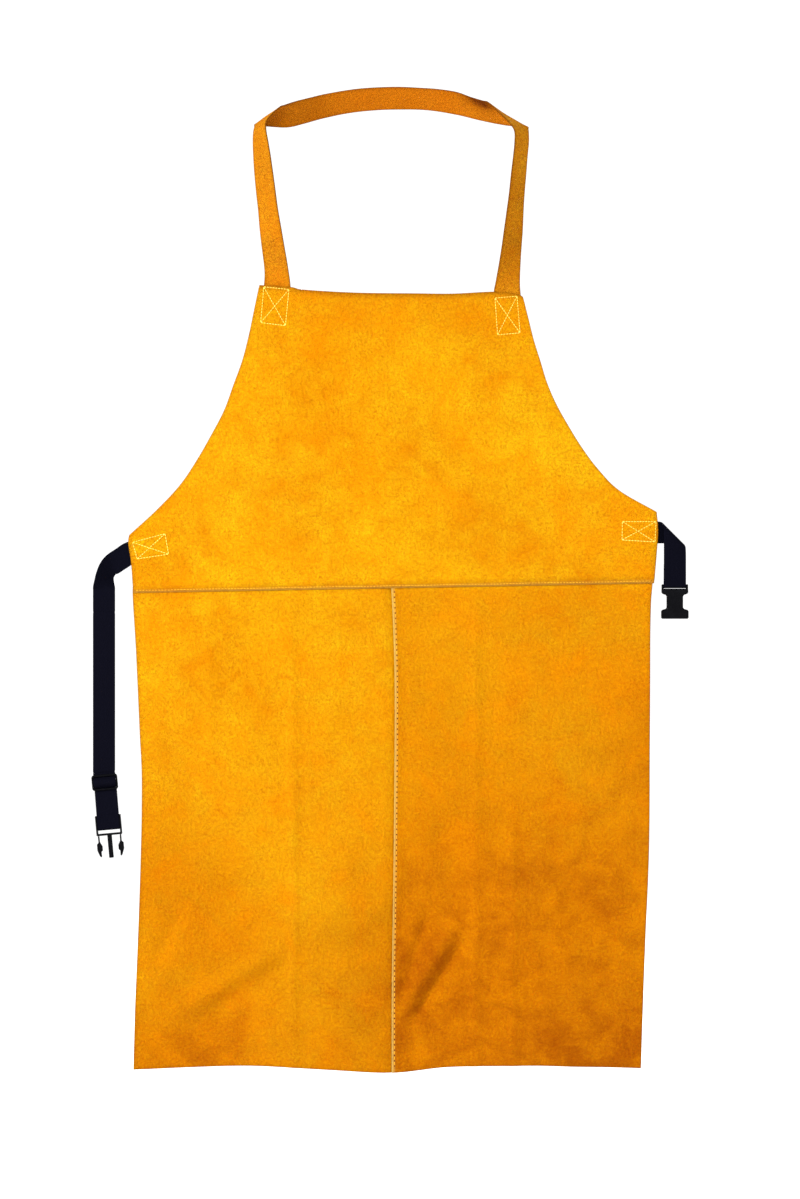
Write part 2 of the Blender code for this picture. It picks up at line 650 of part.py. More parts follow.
def webbing_ribs(path, placing):
    """Ribs of webbing along a side view's (u, y) path, in the buckle frame that placing puts."""
    half = WEBBING_WIDTH / 2
    ribs = []
    for index, (u, y) in enumerate(path):
        ahead = path[min(index + 1, len(path) - 1)]
        behind = path[max(index - 1, 0)]
        run = Vector((0, ahead[1] - behind[1], behind[0] - ahead[0])).normalized()
        normal = placing.to_3x3() @ Vector((0, run.z, -run.y))
        ribs.append((placing @ Vector((-half, y, -u)), placing @ Vector((half, y, -u)), normal))
    return ribs


def ply(count, radius):
    """From a bar's middle to the middle of the webbing that has count more plies beneath it."""
    return radius + (count + 1) * FIT_GAP + (count + 0.5) * WEBBING


def adjuster_frame():
    """The adjuster's own frame: its middle, on the front of the run, leaning with the webbing."""
    reach = ADJUSTER_HEIGHT / 2 + ADJUSTER_LEAD
    middle = right_swing() - Vector((0, ply(0, BAR_RADIUS), ADJUSTER_BELOW))
    middle.x += reach * math.sin(COCK)
    return Matrix.Translation(middle) @ Matrix.Rotation(-COCK, 4, "Y")


def male_frame():
    """The male buckle's own frame: its upper bar, which it swings about."""
    return adjuster_frame() @ Matrix.Translation((0, 0, -MALE_PIVOT))


def adjuster_bar_u():
    """Distance of the adjuster's outer bars from its middle one."""
    return ADJUSTER_HEIGHT / 2 - BAR_RADIUS


def webbing_run_right(materials):
    """The hanging run: behind the adjuster's upper bar, over its middle, behind its lower bar."""
    bar_u = adjuster_bar_u()
    first_ply = ply(0, BAR_RADIUS)
    wheels = [
        (-ADJUSTER_HEIGHT / 2 - ADJUSTER_LEAD, first_ply, 0.0, 1),
        (-bar_u, 0.0, first_ply, 1),
        (0.0, 0.0, ply(1, BAR_RADIUS), -1),
        (bar_u, 0.0, first_ply, 1),
        (MALE_PIVOT - SWING_ROOM, -ply(0, MALE_BAR_RADIUS), 0.0, 1),
    ]
    half = Vector((WEBBING_WIDTH / 2, 0, 0))
    top = right_swing() - Vector((0, 0, SWING_GAP))
    ribs = [(top - half, top + half, Vector((0, -1, 0)))]
    ribs += webbing_ribs(belt_path(wheels), adjuster_frame())
    mesh = ribbon_mesh("webbing_run_right", ribs, WEBBING)
    return add_object("webbing_run_right", mesh, materials["webbing"], right_swing())


def webbing_return_right(materials):
    """The webbing's way back up behind the run, round the adjuster's middle bar to its sewn end."""
    bar_u = adjuster_bar_u()
    wheels = [
        (MALE_PIVOT - SWING_ROOM, ply(0, MALE_BAR_RADIUS), 0.0, 1),
        (bar_u, 0.0, ply(2, BAR_RADIUS), -1),
        (0.0, 0.0, ply(0, BAR_RADIUS), -1),
        (bar_u, 0.0, ply(1, BAR_RADIUS), 1),
        (SEWN_END, sewn_end_y(), 0.0, 1),
    ]
    ribs = webbing_ribs(belt_path(wheels), adjuster_frame())
    mesh = ribbon_mesh("webbing_return_right", ribs, WEBBING)
    origin = male_frame().translation
    return add_object("webbing_return_right", mesh, materials["webbing"], origin)


def return_y(u):
    """Middle of the returning ply behind the run, between the male buckle and the adjuster."""
    low_u, low_y = MALE_PIVOT - SWING_ROOM, ply(0, MALE_BAR_RADIUS)
    bar_u, bar_y = adjuster_bar_u(), ply(2, BAR_RADIUS)
    return low_y + (bar_y - low_y) * (low_u - u) / (low_u - bar_u)


def sewn_end_y():
    """Middle of the webbing's end where it is sewn to the returning ply."""
    return return_y(SEWN_END) - WEBBING - FIT_GAP


def return_stitch(materials):
    """The rows of thread that close the webbing's loop round the adjuster, seen from behind."""
    placing = adjuster_frame()
    low_u, high_u = SEWN_END - STITCH_EDGE, SEWN_END - STITCH_EDGE - SEWN_ROWS
    mesh = thread_frame(
        "adjuster_loop_stitch",
        (WEBBING_WIDTH / 2 - STITCH_EDGE, low_u, high_u),
        lambda u: return_y(u) + WEBBING / 2 + PLY_GAP,
        placing,
    )
    return add_object("adjuster_loop_stitch", mesh, materials["thread"], placing.translation)


def thread_frame(name, size, depth_at, placing):
    """A sewn rectangle of thread: half width and its two heights, on a ply whose depth is given."""
    half, low_u, high_u = size
    w = THREAD_WIDTH
    corners = []
    for inset in (0.0, w):
        for x, u in (
            (-half + inset, low_u - inset),
            (half - inset, low_u - inset),
            (half - inset, high_u + inset),
            (-half + inset, high_u + inset),
        ):
            corners.append((x, u))
    vertices = []
    for rise in (0.0, THREAD_DEPTH):
        for x, u in corners:
            vertices.append(placing @ Vector((x, depth_at(u) + rise, -u)))
    faces = []
    for here in range(4):
        there = (here + 1) % 4
        faces.append((here, there, 4 + there, 4 + here))
        faces.append((8 + here, 12 + here, 12 + there, 8 + there))
        faces.append((here, 8 + here, 8 + there, there))
        faces.append((4 + here, 4 + there, 12 + there, 12 + here))
    return mesh_from(name, vertices, faces)


def webbing_buckle_loop(materials):
    """The bight of webbing round both bars of the male buckle."""
    out = ply(0, MALE_BAR_RADIUS)
    wheels = [
        (0.0, -out, 0.0, 1),
        (MALE_BARS, 0.0, out, -1),
        (0.0, out, 0.0, 1),
    ]
    ribs = webbing_ribs(belt_path(wheels), male_frame())
    mesh = ribbon_mesh("webbing_buckle_loop", ribs, WEBBING)
    origin = male_frame().translation
    return add_object("webbing_buckle_loop", mesh, materials["webbing"], origin)


def female_frame():
    """The female buckle's own frame: its bar, which it swings about."""
    drop = Vector((0, ply(0, MALE_BAR_RADIUS), -FEMALE_BAR_BELOW))
    return Matrix.Translation(left_swing() + drop)


def webbing_run_left(materials):
    """The short hanging run, round the female buckle's bar and sewn to itself behind."""
    out = ply(0, MALE_BAR_RADIUS)
    top_u = SWING_GAP - FEMALE_BAR_BELOW
    wheels = [
        (top_u, -out, 0.0, 1),
        (0.0, 0.0, out, -1),
        (top_u + LEFT_END_BELOW, -out + WEBBING + FIT_GAP, 0.0, 1),
    ]
    path = belt_path(wheels)
    mesh = ribbon_mesh("webbing_run_left", webbing_ribs(path, female_frame()), WEBBING)
    return add_object("webbing_run_left", mesh, materials["webbing"], left_swing())


def left_loop_stitch(materials):
    """The sewn rectangle that closes the short webbing's loop, seen from behind."""
    out = ply(0, MALE_BAR_RADIUS)
    top_u = SWING_GAP - FEMALE_BAR_BELOW + LEFT_END_BELOW
    end_y = -out + WEBBING + FIT_GAP

    def depth_at(u):
        return end_y + (out - end_y) * (u - top_u) / -top_u + WEBBING / 2 + PLY_GAP

    low_u = top_u + STITCH_EDGE + SEWN_ROWS
    high_u = top_u + STITCH_EDGE
    size = (WEBBING_WIDTH / 2 - STITCH_EDGE, low_u, high_u)
    mesh = thread_frame("buckle_loop_stitch", size, depth_at, female_frame())
    return add_object("buckle_loop_stitch", mesh, materials["thread"], female_frame().translation)


def block(low, high, bevel=0.0):
    """A box between two corners, its edges rounded off by a small flat."""
    work = bmesh.new()
    bmesh.ops.create_cube(work, size=1.0)
    low, high = Vector(low), Vector(high)
    for vertex in work.verts:
        share = vertex.co + Vector((0.5, 0.5, 0.5))
        vertex.co = Vector(a + (b - a) * s for a, b, s in zip(low, high, share))
    if bevel:
        bmesh.ops.bevel(work, geom=work.edges[:], offset=bevel, segments=1, affect="EDGES")
    mesh = bpy.data.meshes.new("block")
    work.to_mesh(mesh)
    work.free()
    return mesh


def rod(half_length, radius, z):
    """A round bar along X."""
    work = bmesh.new()
    bmesh.ops.create_cone(
        work,
        cap_ends=True,
        segments=ROD_SIDES,
        radius1=radius,
        radius2=radius,
        depth=2 * half_length,
        matrix=Matrix.Translation((0, 0, z)) @ Matrix.Rotation(math.pi / 2, 4, "Y"),
    )
    mesh = bpy.data.meshes.new("rod")
    work.to_mesh(mesh)
    work.free()
    return mesh


def soften(mesh, width):
    """Round off every sharp edge of a mesh by a small flat."""
    work = bmesh.new()
    work.from_mesh(mesh)
    bmesh.ops.dissolve_limit(work, angle_limit=0.01, verts=work.verts, edges=work.edges)
    sharp = [edge for edge in work.edges if edge.calc_face_angle(0.0) > SHARP_ANGLE]
    bmesh.ops.bevel(work, geom=sharp, offset=width, segments=1, affect="EDGES")
    work.to_mesh(mesh)
    work.free()
    return mesh


def combine(name, first, others):
    """One mesh from a first mesh and (operation, mesh) steps, by exact Booleans in order."""
    base = bpy.data.objects.new(name, first)
    bpy.context.scene.collection.objects.link(base)
    tools = []
    for operation, mesh in others:
        tool = bpy.data.objects.new("tool", mesh)
        bpy.context.scene.collection.objects.link(tool)
        tools.append(tool)
        step = base.modifiers.new("step", "BOOLEAN")
        step.object = tool
        step.operation = operation
        step.solver = "EXACT"
    result = base.evaluated_get(bpy.context.evaluated_depsgraph_get())
    mesh = bpy.data.meshes.new_from_object(result)
    mesh.name = name
    for obj in (base, *tools):
        bpy.data.objects.remove(obj, do_unlink=True)
    return mesh


def place_part(name, mesh, placing, material):
    """Link a mesh made in a buckle's own frame, with its object placed and turned by that frame."""
    mesh.materials.clear()
    mesh.materials.append(material)
    obj = bpy.data.objects.new(name, mesh)
    obj.matrix_world = placing
    bpy.context.scene.collection.objects.link(obj)
    return obj


def adjuster(materials):
    """The three-bar slide that the long webbing is threaded through."""
    half_x, half_z = adjuster_width() / 2, ADJUSTER_HEIGHT / 2
    corner = ADJUSTER_CORNER
    outline = []
    for sign_x, sign_z, start in ((1, 1, 0), (-1, 1, 90), (-1, -1, 180), (1, -1, 270)):
        for step in range(CORNER_STEPS + 1):
            angle = math.radians(start + 90 * step / CORNER_STEPS)
            x = sign_x * (half_x - corner) + corner * math.cos(angle)
            outline.append((x, sign_z * (half_z - corner) + corner * math.sin(angle)))
    ring = slab_mesh("ring", outline, 2 * BAR_RADIUS, -BAR_RADIUS)
    window_x, window_z = half_x - ADJUSTER_RAIL, half_z - 2 * BAR_RADIUS
    reach = 2 * BAR_RADIUS
    window = block((-window_x, -reach, -window_z), (window_x, reach, window_z))
    frame = soften(combine("frame", ring, [("DIFFERENCE", window)]), ADJUSTER_EDGE)
    bar = rod(window_x + ADJUSTER_RAIL / 2, BAR_RADIUS, 0.0)
    mesh = combine("strap_adjuster", frame, [("UNION", bar)])
    return place_part("strap_adjuster", mesh, adjuster_frame(), materials["plastic"])


def male_buckle(materials):
    """The male buckle's frame with its two bars, its shoulder and its centre guide."""
    half = male_width() / 2
    depth = MALE_DEPTH / 2
    top = MALE_BAR_RADIUS
    shoulder_top, shoulder_low = (-z for z in MALE_SHOULDER)
    bar_half = half - MALE_RAIL / 2
    inner = half - MALE_RAIL
    rail = block((inner, -depth, shoulder_low), (half, depth, top), MALE_EDGE)
    other = block((-half, -depth, shoulder_low), (-inner, depth, top), MALE_EDGE)
    shoulder = block((-half, -depth, shoulder_low), (half, depth, shoulder_top), MALE_EDGE)
    guide_low = (-GUIDE_WIDTH / 2, -GUIDE_DEPTH / 2, -GUIDE_END)
    guide_high = (GUIDE_WIDTH / 2, GUIDE_DEPTH / 2, shoulder_low + MALE_RAIL / 2)
    steps = [
        ("UNION", other),
        ("UNION", shoulder),
        ("UNION", rod(bar_half, MALE_BAR_RADIUS, 0.0)),
        ("UNION", rod(bar_half, MALE_BAR_RADIUS, -MALE_BARS)),
        ("UNION", block(guide_low, guide_high, MALE_EDGE)),
    ]
    mesh = combine("male_buckle", rail, steps)
    return place_part("male_buckle", mesh, male_frame(), materials["plastic"])


def prong(side, sign, materials):
    """One latch prong: a thin stem, a barb with a flat back and a pointed nose."""
    root = MALE_SHOULDER[1] + FIT_GAP
    stem = male_width() / 2 - PRONG_INSET
    outline = [(stem - PRONG_STEM / 2, -root), (stem + PRONG_STEM / 2, -root)]
    outline += [(stem + x, -root - u) for x, u in PRONG_NOSE]
    outline = [(sign * x, z) for x, z in outline]
    mesh = slab_mesh(f"prong_{side}", outline, PRONG_DEPTH, -PRONG_DEPTH / 2)
    soften(mesh, PRONG_EDGE)
    return place_part(f"prong_{side}", mesh, male_frame(), materials["plastic"])


def female_buckle(materials):
    """The female buckle: a waisted shell, hollow from the mouth, with its bar between two ears."""
    inner = WEBBING_WIDTH / 2 + SIDE_GAP
    end_half, waist_half, mouth_half = (inner + FEMALE_EAR + out for out in FEMALE_SIDES)
    end_u, waist_top, waist_low, mouth_top, mouth_u = FEMALE_STEPS
    side = [
        (end_half, -FEMALE_BODY_TOP),
        (end_half, -end_u),
        (waist_half, -waist_top),
        (waist_half, -waist_low),
        (mouth_half, -mouth_top),
        (mouth_half, -mouth_u),
    ]
    outline = side + [(-x, z) for x, z in reversed(side)]
    depth = FEMALE_DEPTH / 2
    shell = soften(slab_mesh("shell", outline, FEMALE_DEPTH, -depth), FEMALE_EDGE)
    inside_x, inside_y = mouth_half - FEMALE_WALL, depth - FEMALE_WALL
    past = mouth_u + FEMALE_WALL
    cavity = block((-inside_x, -inside_y, -past), (inside_x, inside_y, -FEMALE_CAVITY_TOP))
    ear_low = -(FEMALE_BODY_TOP + FEMALE_WALL)
    ear_y = MALE_BAR_RADIUS + FEMALE_EDGE / 2
    right_ear = block((-end_half, -ear_y, ear_low), (-inner, ear_y, MALE_BAR_RADIUS), EAR_EDGE)
    left_ear = block((inner, -ear_y, ear_low), (end_half, ear_y, MALE_BAR_RADIUS), EAR_EDGE)
    steps = [
        ("DIFFERENCE", cavity),
        ("UNION", right_ear),
        ("UNION", left_ear),
        ("UNION", rod((inner + end_half) / 2, MALE_BAR_RADIUS, 0.0)),
    ]
    mesh = combine("female_buckle", shell, steps)
    return place_part("female_buckle", mesh, female_frame(), materials["plastic"])


def main():
    clear_scene()
    materials = make_materials()
    neck_strap(materials)
    for side in STRAP_BEND_X:
        strap_end(side, materials)
    bib_panel(materials)
    skirt_panel("skirt_panel_right", -1, materials)
    skirt_panel("skirt_panel_left", 1, materials)
    strap_boxes(materials)
    waist_boxes(materials)
    for face in ("front", "back"):
        waist_seam(face, materials)
        centre_seam(face, materials)
    webbing_tail_right(materials)
    webbing_run_right(materials)
    webbing_return_right(materials)
    return_stitch(materials)
    webbing_buckle_loop(materials)
    webbing_tail_left(materials)
    webbing_run_left(materials)
    left_loop_stitch(materials)
    adjuster(materials)
    male_buckle(materials)
    prong("right", -1, materials)
    prong("left", 1, materials)
    female_buckle(materials)
    bpy.context.view_layer.update()


main()
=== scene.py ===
import json
import logging
import math
from dataclasses import dataclass, field
from enum import Enum

import bpy
import numpy as np
from mathutils import Matrix, Vector


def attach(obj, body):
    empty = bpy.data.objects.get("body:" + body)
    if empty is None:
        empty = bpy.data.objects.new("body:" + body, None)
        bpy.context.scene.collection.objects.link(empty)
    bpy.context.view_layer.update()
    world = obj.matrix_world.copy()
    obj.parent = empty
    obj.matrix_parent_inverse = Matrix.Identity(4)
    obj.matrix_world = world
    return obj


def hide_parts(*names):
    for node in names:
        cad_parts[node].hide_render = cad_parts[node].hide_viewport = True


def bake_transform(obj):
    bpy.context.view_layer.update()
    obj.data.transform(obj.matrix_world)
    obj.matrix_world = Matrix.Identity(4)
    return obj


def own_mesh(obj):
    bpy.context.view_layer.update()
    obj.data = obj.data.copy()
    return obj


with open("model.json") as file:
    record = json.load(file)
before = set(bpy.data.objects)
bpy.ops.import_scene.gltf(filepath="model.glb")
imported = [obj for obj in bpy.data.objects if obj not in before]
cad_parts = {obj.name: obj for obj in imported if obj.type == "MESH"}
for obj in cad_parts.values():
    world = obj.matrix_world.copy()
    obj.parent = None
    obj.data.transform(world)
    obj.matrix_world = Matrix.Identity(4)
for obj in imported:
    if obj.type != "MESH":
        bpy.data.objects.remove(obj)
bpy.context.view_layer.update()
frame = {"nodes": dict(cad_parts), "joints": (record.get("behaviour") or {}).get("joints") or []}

LOG = logging.getLogger("apron")
Array = np.ndarray


# ---------------------------------------------------------------- numbers and curves


def smoothstep(low: float, high: float, value: Array) -> Array:
    """0 below low, 1 above high, and t*t*(3 - 2t) of the share t in between."""
    t = np.clip((value - low) / (high - low), 0.0, 1.0)
    return t * t * (3.0 - 2.0 * t)


def curve_through(points: list, count: int) -> Array:
    """A smooth curve through points, sampled evenly along its length.

    Between two points the curve is the cubic whose slope at each point is half the step between
    that point's neighbours. The samples are then spaced by the summed length.

    Args:
        points: rows of coordinates to pass through, with any number of columns.
        count: number of samples.

    Returns:
        The samples, count rows.
    """
    p = np.asarray(points, float)
    padded = np.vstack([2 * p[0] - p[1], p, 2 * p[-1] - p[-2]])
    t = np.linspace(0.0, 1.0, 25)[:-1, None]
    a, b, c, d = (padded[i : len(p) - 1 + i][:, None, :] for i in range(4))
    cubic = 0.5 * (
        2 * b + (c - a) * t + (2 * a - 5 * b + 4 * c - d) * t**2 + (3 * b - a - 3 * c + d) * t**3
    )
    dense = np.vstack([cubic.reshape(-1, p.shape[1]), p[-1]])
    run = np.concatenate([[0.0], np.cumsum(np.linalg.norm(np.diff(dense[:, :3], axis=0), axis=1))])
    at = np.linspace(0.0, run[-1], count)
    return np.stack([np.interp(at, run, dense[:, k]) for k in range(p.shape[1])], axis=1)


def lattice_noise(x: Array, z: Array, size: float, seed: int) -> Array:
    """Soft bumps between -1 and 1.

    Each corner of a square lattice of the given size has a random height, and a point takes the
    heights of its four corners, weighted by smoothstep shares in both directions.

    Args:
        x: first coordinate, in metres.
        z: second coordinate, in metres.
        size: side of a lattice square, in metres.
        seed: which random heights.

    Returns:
        The heights, in the shape of x.
    """
    heights = np.random.default_rng(seed).uniform(-1.0, 1.0, (64, 64))
    i, j = np.floor(x / size).astype(int), np.floor(z / size).astype(int)
    s, t = x / size - i, z / size - j
    s, t = s * s * (3 - 2 * s), t * t * (3 - 2 * t)
    low = heights[i % 64, j % 64] * (1 - s) + heights[(i + 1) % 64, j % 64] * s
    high = heights[i % 64, (j + 1) % 64] * (1 - s) + heights[(i + 1) % 64, (j + 1) % 64] * s
    return low * (1 - t) + high * t


def even_line(length: float, spacing: float, edge: float = 0.0007) -> Array:
    """Shares 0 to 1 about spacing apart over a length, with one more line close to each end."""
    inner = np.linspace(edge / length, 1 - edge / length, max(3, round(length / spacing)))
    return np.concatenate([[0.0], inner, [1.0]])


def unit(v: Array) -> Array:
    """Vectors of length one along the last axis."""
    return v / np.maximum(np.linalg.norm(v, axis=-1, keepdims=True), 1e-12)


# ---------------------------------------------------------------- meshes


def link_mesh(name: str, points: Array, faces: list, finish: bpy.types.Material) -> bpy.types.Object:
    """A new smooth-shaded object at the origin, from its points and its faces' point numbers."""
    mesh = bpy.data.meshes.new(name)
    mesh.from_pydata(points.tolist(), [], faces)
    mesh.materials.append(finish)
    mesh.shade_smooth()
    obj = bpy.data.objects.new(name, mesh)
    bpy.context.scene.collection.objects.link(obj)
    return obj


def store(obj: bpy.types.Object, name: str, values: Array) -> None:
    """Keep a number or a vector for each point of a mesh, for its material to read."""
    kind, key = ("FLOAT", "value") if values.ndim == 1 else ("FLOAT_VECTOR", "vector")
    attribute = obj.data.attributes.new(name, kind, "POINT")
    attribute.data.foreach_set(key, values.astype(np.float32).ravel())


def grid_normals(grid: Array) -> Array:
    """Normals of a grid of points: the cross product of its slopes along rows and columns."""
    along = np.gradient(grid, axis=0)
    across = np.gradient(grid, axis=1)
    return unit(np.cross(along, across))


def rim_order(rows: int, columns: int) -> Array:
    """(row, column) of each point round a grid's edge, once round."""
    top = [(0, c) for c in range(columns)]
    right = [(r, columns - 1) for r in range(1, rows)]
    low = [(rows - 1, c) for c in range(columns - 2, -1, -1)]
    left = [(r, 0) for r in range(rows - 2, 0, -1)]
    return np.array(top + right + low + left)


def thick_sheet(
    name: str,
    middle: Array,
    normal: Array,
    thickness: float,
    lay: Array,
    finish: bpy.types.Material,
    bulge: float = 0.25,
) -> bpy.types.Object:
    """A closed sheet about a grid of middle points.

    The two faces lie half the thickness along the normal to either side. A third ring of points,
    pushed outwards by a share of the thickness, joins them round the edge.

    Args:
        name: the piece's name.
        middle: grid of points, rows by columns by 3.
        normal: the front face's normal at each of them.
        thickness: in metres.
        lay: for each point of the grid, its place on the flat cut piece, in metres (3 columns).
        finish: material.
        bulge: how far the edge's ring stands out, as a share of the thickness.

    Returns:
        The object, with the attributes Lay, Cut (1 on the cut edge) and Back (1 on the back face).
    """
    rows, columns = middle.shape[:2]
    count = rows * columns
    ring = rim_order(rows, columns)
    inward = np.clip(ring, 1, np.array([rows, columns]) - 2)
    edge = middle[ring[:, 0], ring[:, 1]]
    outward = unit(edge - middle[inward[:, 0], inward[:, 1]])
    half = normal * thickness / 2
    points = np.vstack(
        [(middle + half).reshape(-1, 3), (middle - half).reshape(-1, 3), edge + outward * thickness * bulge]
    )
    r, c = np.meshgrid(np.arange(rows - 1), np.arange(columns - 1), indexing="ij")
    first = (r * columns + c).ravel()
    quads = np.stack([first, first + columns, first + columns + 1, first + 1], axis=1)
    flat = ring[:, 0] * columns + ring[:, 1]
    after = np.roll(flat, -1)
    here = 2 * count + np.arange(len(flat))
    there = np.roll(here, -1)
    sides = np.vstack(
        [
            np.stack([flat, after, there, here], axis=1),
            np.stack([here, there, after + count, flat + count], axis=1),
        ]
    )
    faces = np.vstack([quads, quads[:, ::-1] + count, sides])
    volume = np.einsum("ij,ij->i", points[faces[:, 0]], np.cross(points[faces[:, 1]], points[faces[:, 2]]))
    volume += np.einsum("ij,ij->i", points[faces[:, 0]], np.cross(points[faces[:, 2]], points[faces[:, 3]]))
    if volume.sum() < 0:
        faces = faces[:, ::-1]
    obj = link_mesh(name, points, faces.tolist(), finish)
    cut = np.zeros(len(points))
    cut[2 * count :] = 1.0
    back = np.zeros(len(points))
    back[count : 2 * count] = 1.0
    flat_lay = lay.reshape(-1, 3)
    store(obj, "Lay", np.vstack([flat_lay, flat_lay, flat_lay[flat]]))
    r, c = np.meshgrid(np.arange(rows), np.arange(columns), indexing="ij")
    inside = np.minimum(np.minimum(r, rows - 1 - r), np.minimum(c, columns - 1 - c)).ravel()
    # Rim: 1 at the edge, fading inwards; the material paints a dark rim there, partly the cut edge's colour
    # and partly painted shadow.
    rim = np.interp(inside, [0, 1, 2], [1.0, 0.4, 0.0])
    store(obj, "Cut", cut)
    store(obj, "Back", back)
    store(obj, "Rim", np.concatenate([rim, rim, np.ones(len(flat))]))
    return obj


def stitches(
    name: str,
    paths: list,
    finish: bpy.types.Material,
    pitch: float = 0.0036,
    gap: float = 0.0007,
    radius: float = 0.00042,
) -> bpy.types.Object:
    """Rows of single stitches, each a short thread that dips into the leather at both ends.

    A stitch's rings are circles whose radius and height follow the sine of the share along it,
    so that it is thick and proud in the middle and thin and sunk at its ends.

    Args:
        name: the piece's name.
        paths: (start, end, normal) for each straight run of stitches; or a list of points in
            place of start, with None as end.
        finish: material.
        pitch: from one needle hole to the next.
        gap: left free between two stitches.
        radius: of the thread.

    Returns:
        The object with all the stitches.
    """
    centres, runs, normals, lengths = [], [], [], []
    for start, end, normal in paths:
        line = np.asarray([start, end] if end is not None else start, float)
        steps = np.linalg.norm(np.diff(line, axis=0), axis=1)
        along = np.concatenate([[0.0], np.cumsum(steps)])
        count = max(1, round(along[-1] / pitch))
        at = np.linspace(0.0, along[-1], count + 1)
        holes = np.stack([np.interp(at, along, line[:, k]) for k in range(3)], axis=1)
        centres.append((holes[1:] + holes[:-1]) / 2)
        runs.append(unit(holes[1:] - holes[:-1]))
        lengths.append(np.linalg.norm(holes[1:] - holes[:-1], axis=1) - gap)
        normals.append(np.broadcast_to(np.asarray(normal, float), centres[-1].shape))
    centre, run = np.vstack(centres), np.vstack(runs)
    normal, length = np.vstack(normals), np.concatenate(lengths)
    side = unit(np.cross(run, normal))
    s = np.linspace(0.0, 1.0, 7)
    turn = np.linspace(0.0, 2 * np.pi, 7)[:-1]
    swell = np.maximum(np.sin(np.pi * s), 0.0) ** 0.45
    ring_radius = radius * (0.25 + 0.75 * swell)
    height = radius * (1.30 * swell - 0.65)
    jitter = np.random.default_rng(len(centre)).uniform(0.85, 1.1, len(centre))
    out = height[None, :, None] * jitter[:, None, None] + ring_radius[None, :, None] * np.cos(turn)
    aside = np.broadcast_to(ring_radius[None, :, None] * np.sin(turn), out.shape)
    ahead = (s[None, :, None] - 0.5) * length[:, None, None]
    points = (
        centre[:, None, None, :]
        + run[:, None, None, :] * ahead[..., None]
        + normal[:, None, None, :] * out[..., None]
        + side[:, None, None, :] * aside[..., None]
    ).reshape(-1, 3)
    k, i, j = np.meshgrid(np.arange(len(centre)), np.arange(6), np.arange(6), indexing="ij")
    base, nxt = k * 42 + i * 6, (j + 1) % 6
    quads = np.stack([base + j, base + nxt, base + 6 + nxt, base + 6 + j], axis=-1).reshape(-1, 4)
    number = np.arange(len(centre))[:, None] * 42
    caps = np.vstack([number + np.arange(6)[::-1], number + 36 + np.arange(6)])
    obj = link_mesh(name, points, quads.tolist() + caps.tolist(), finish)
    turn_along = np.repeat((np.cumsum(length) - length)[:, None] + length[:, None] * s, 6, axis=1)
    around = np.tile(turn, len(centre) * 7)
    store(obj, "Lay", np.stack([turn_along.ravel(), around, turn_along.ravel() * 0], 1))
    return obj


def dots(
    name: str, places: Array, normals: Array, radius: float, finish: bpy.types.Material
) -> bpy.types.Object:
    """Needle holes: shallow round cups of twelve sides, set in the leather's face.

    Args:
        name: the piece's name.
        places: middle of each.
        normals: way out of the leather at each.
        radius: of a hole.
        finish: material.

    Returns:
        The object with all the holes.
    """
    turn = np.linspace(0.0, 2 * np.pi, 13)[:-1]
    aside = unit(np.cross(normals, np.array([0.0, 0.0, 1.0])))
    up = np.cross(aside, normals)
    rings = []
    for share, lift in ((1.0, -0.3), (0.85, 0.25), (0.0, 0.12)):
        ring = places[:, None, :] + normals[:, None, :] * radius * lift
        ring = ring + radius * share * (
            aside[:, None, :] * np.cos(turn)[None, :, None] + up[:, None, :] * np.sin(turn)[None, :, None]
        )
        rings.append(ring if share else ring[:, :1, :])
    points = np.concatenate(rings, axis=1).reshape(-1, 3)
    base = np.arange(len(places))[:, None] * 25
    j = np.arange(12)
    nxt = (j + 1) % 12
    quads = np.stack([base + j, base + nxt, base + 12 + nxt, base + 12 + j], axis=-1).reshape(-1, 4)
    fans = np.stack([base + 12 + j, base + 12 + nxt, np.broadcast_to(base + 24, (len(places), 12))], -1)
    floor = base + j[::-1]
    return link_mesh(name, points, quads.tolist() + fans.reshape(-1, 3).tolist() + floor.tolist(), finish)


# ---------------------------------------------------------------- finishes


class Slot(Enum):
    """The record's material slots."""

    LEATHER = "leather"
    STRAP = "strap"
    WEBBING = "webbing"
    PLASTIC = "plastic"
    THREAD = "thread"


def srgb(red: int, green: int, blue: int) -> tuple[float, float, float, float]:
    """Linear colour of a display colour given in 0 to 255."""
    channel = np.array([red, green, blue]) / 255.0
    linear = np.where(channel <= 0.04045, channel / 12.92, ((channel + 0.055) / 1.055) ** 2.4)
    return (*(float(c) for c in linear), 1.0)


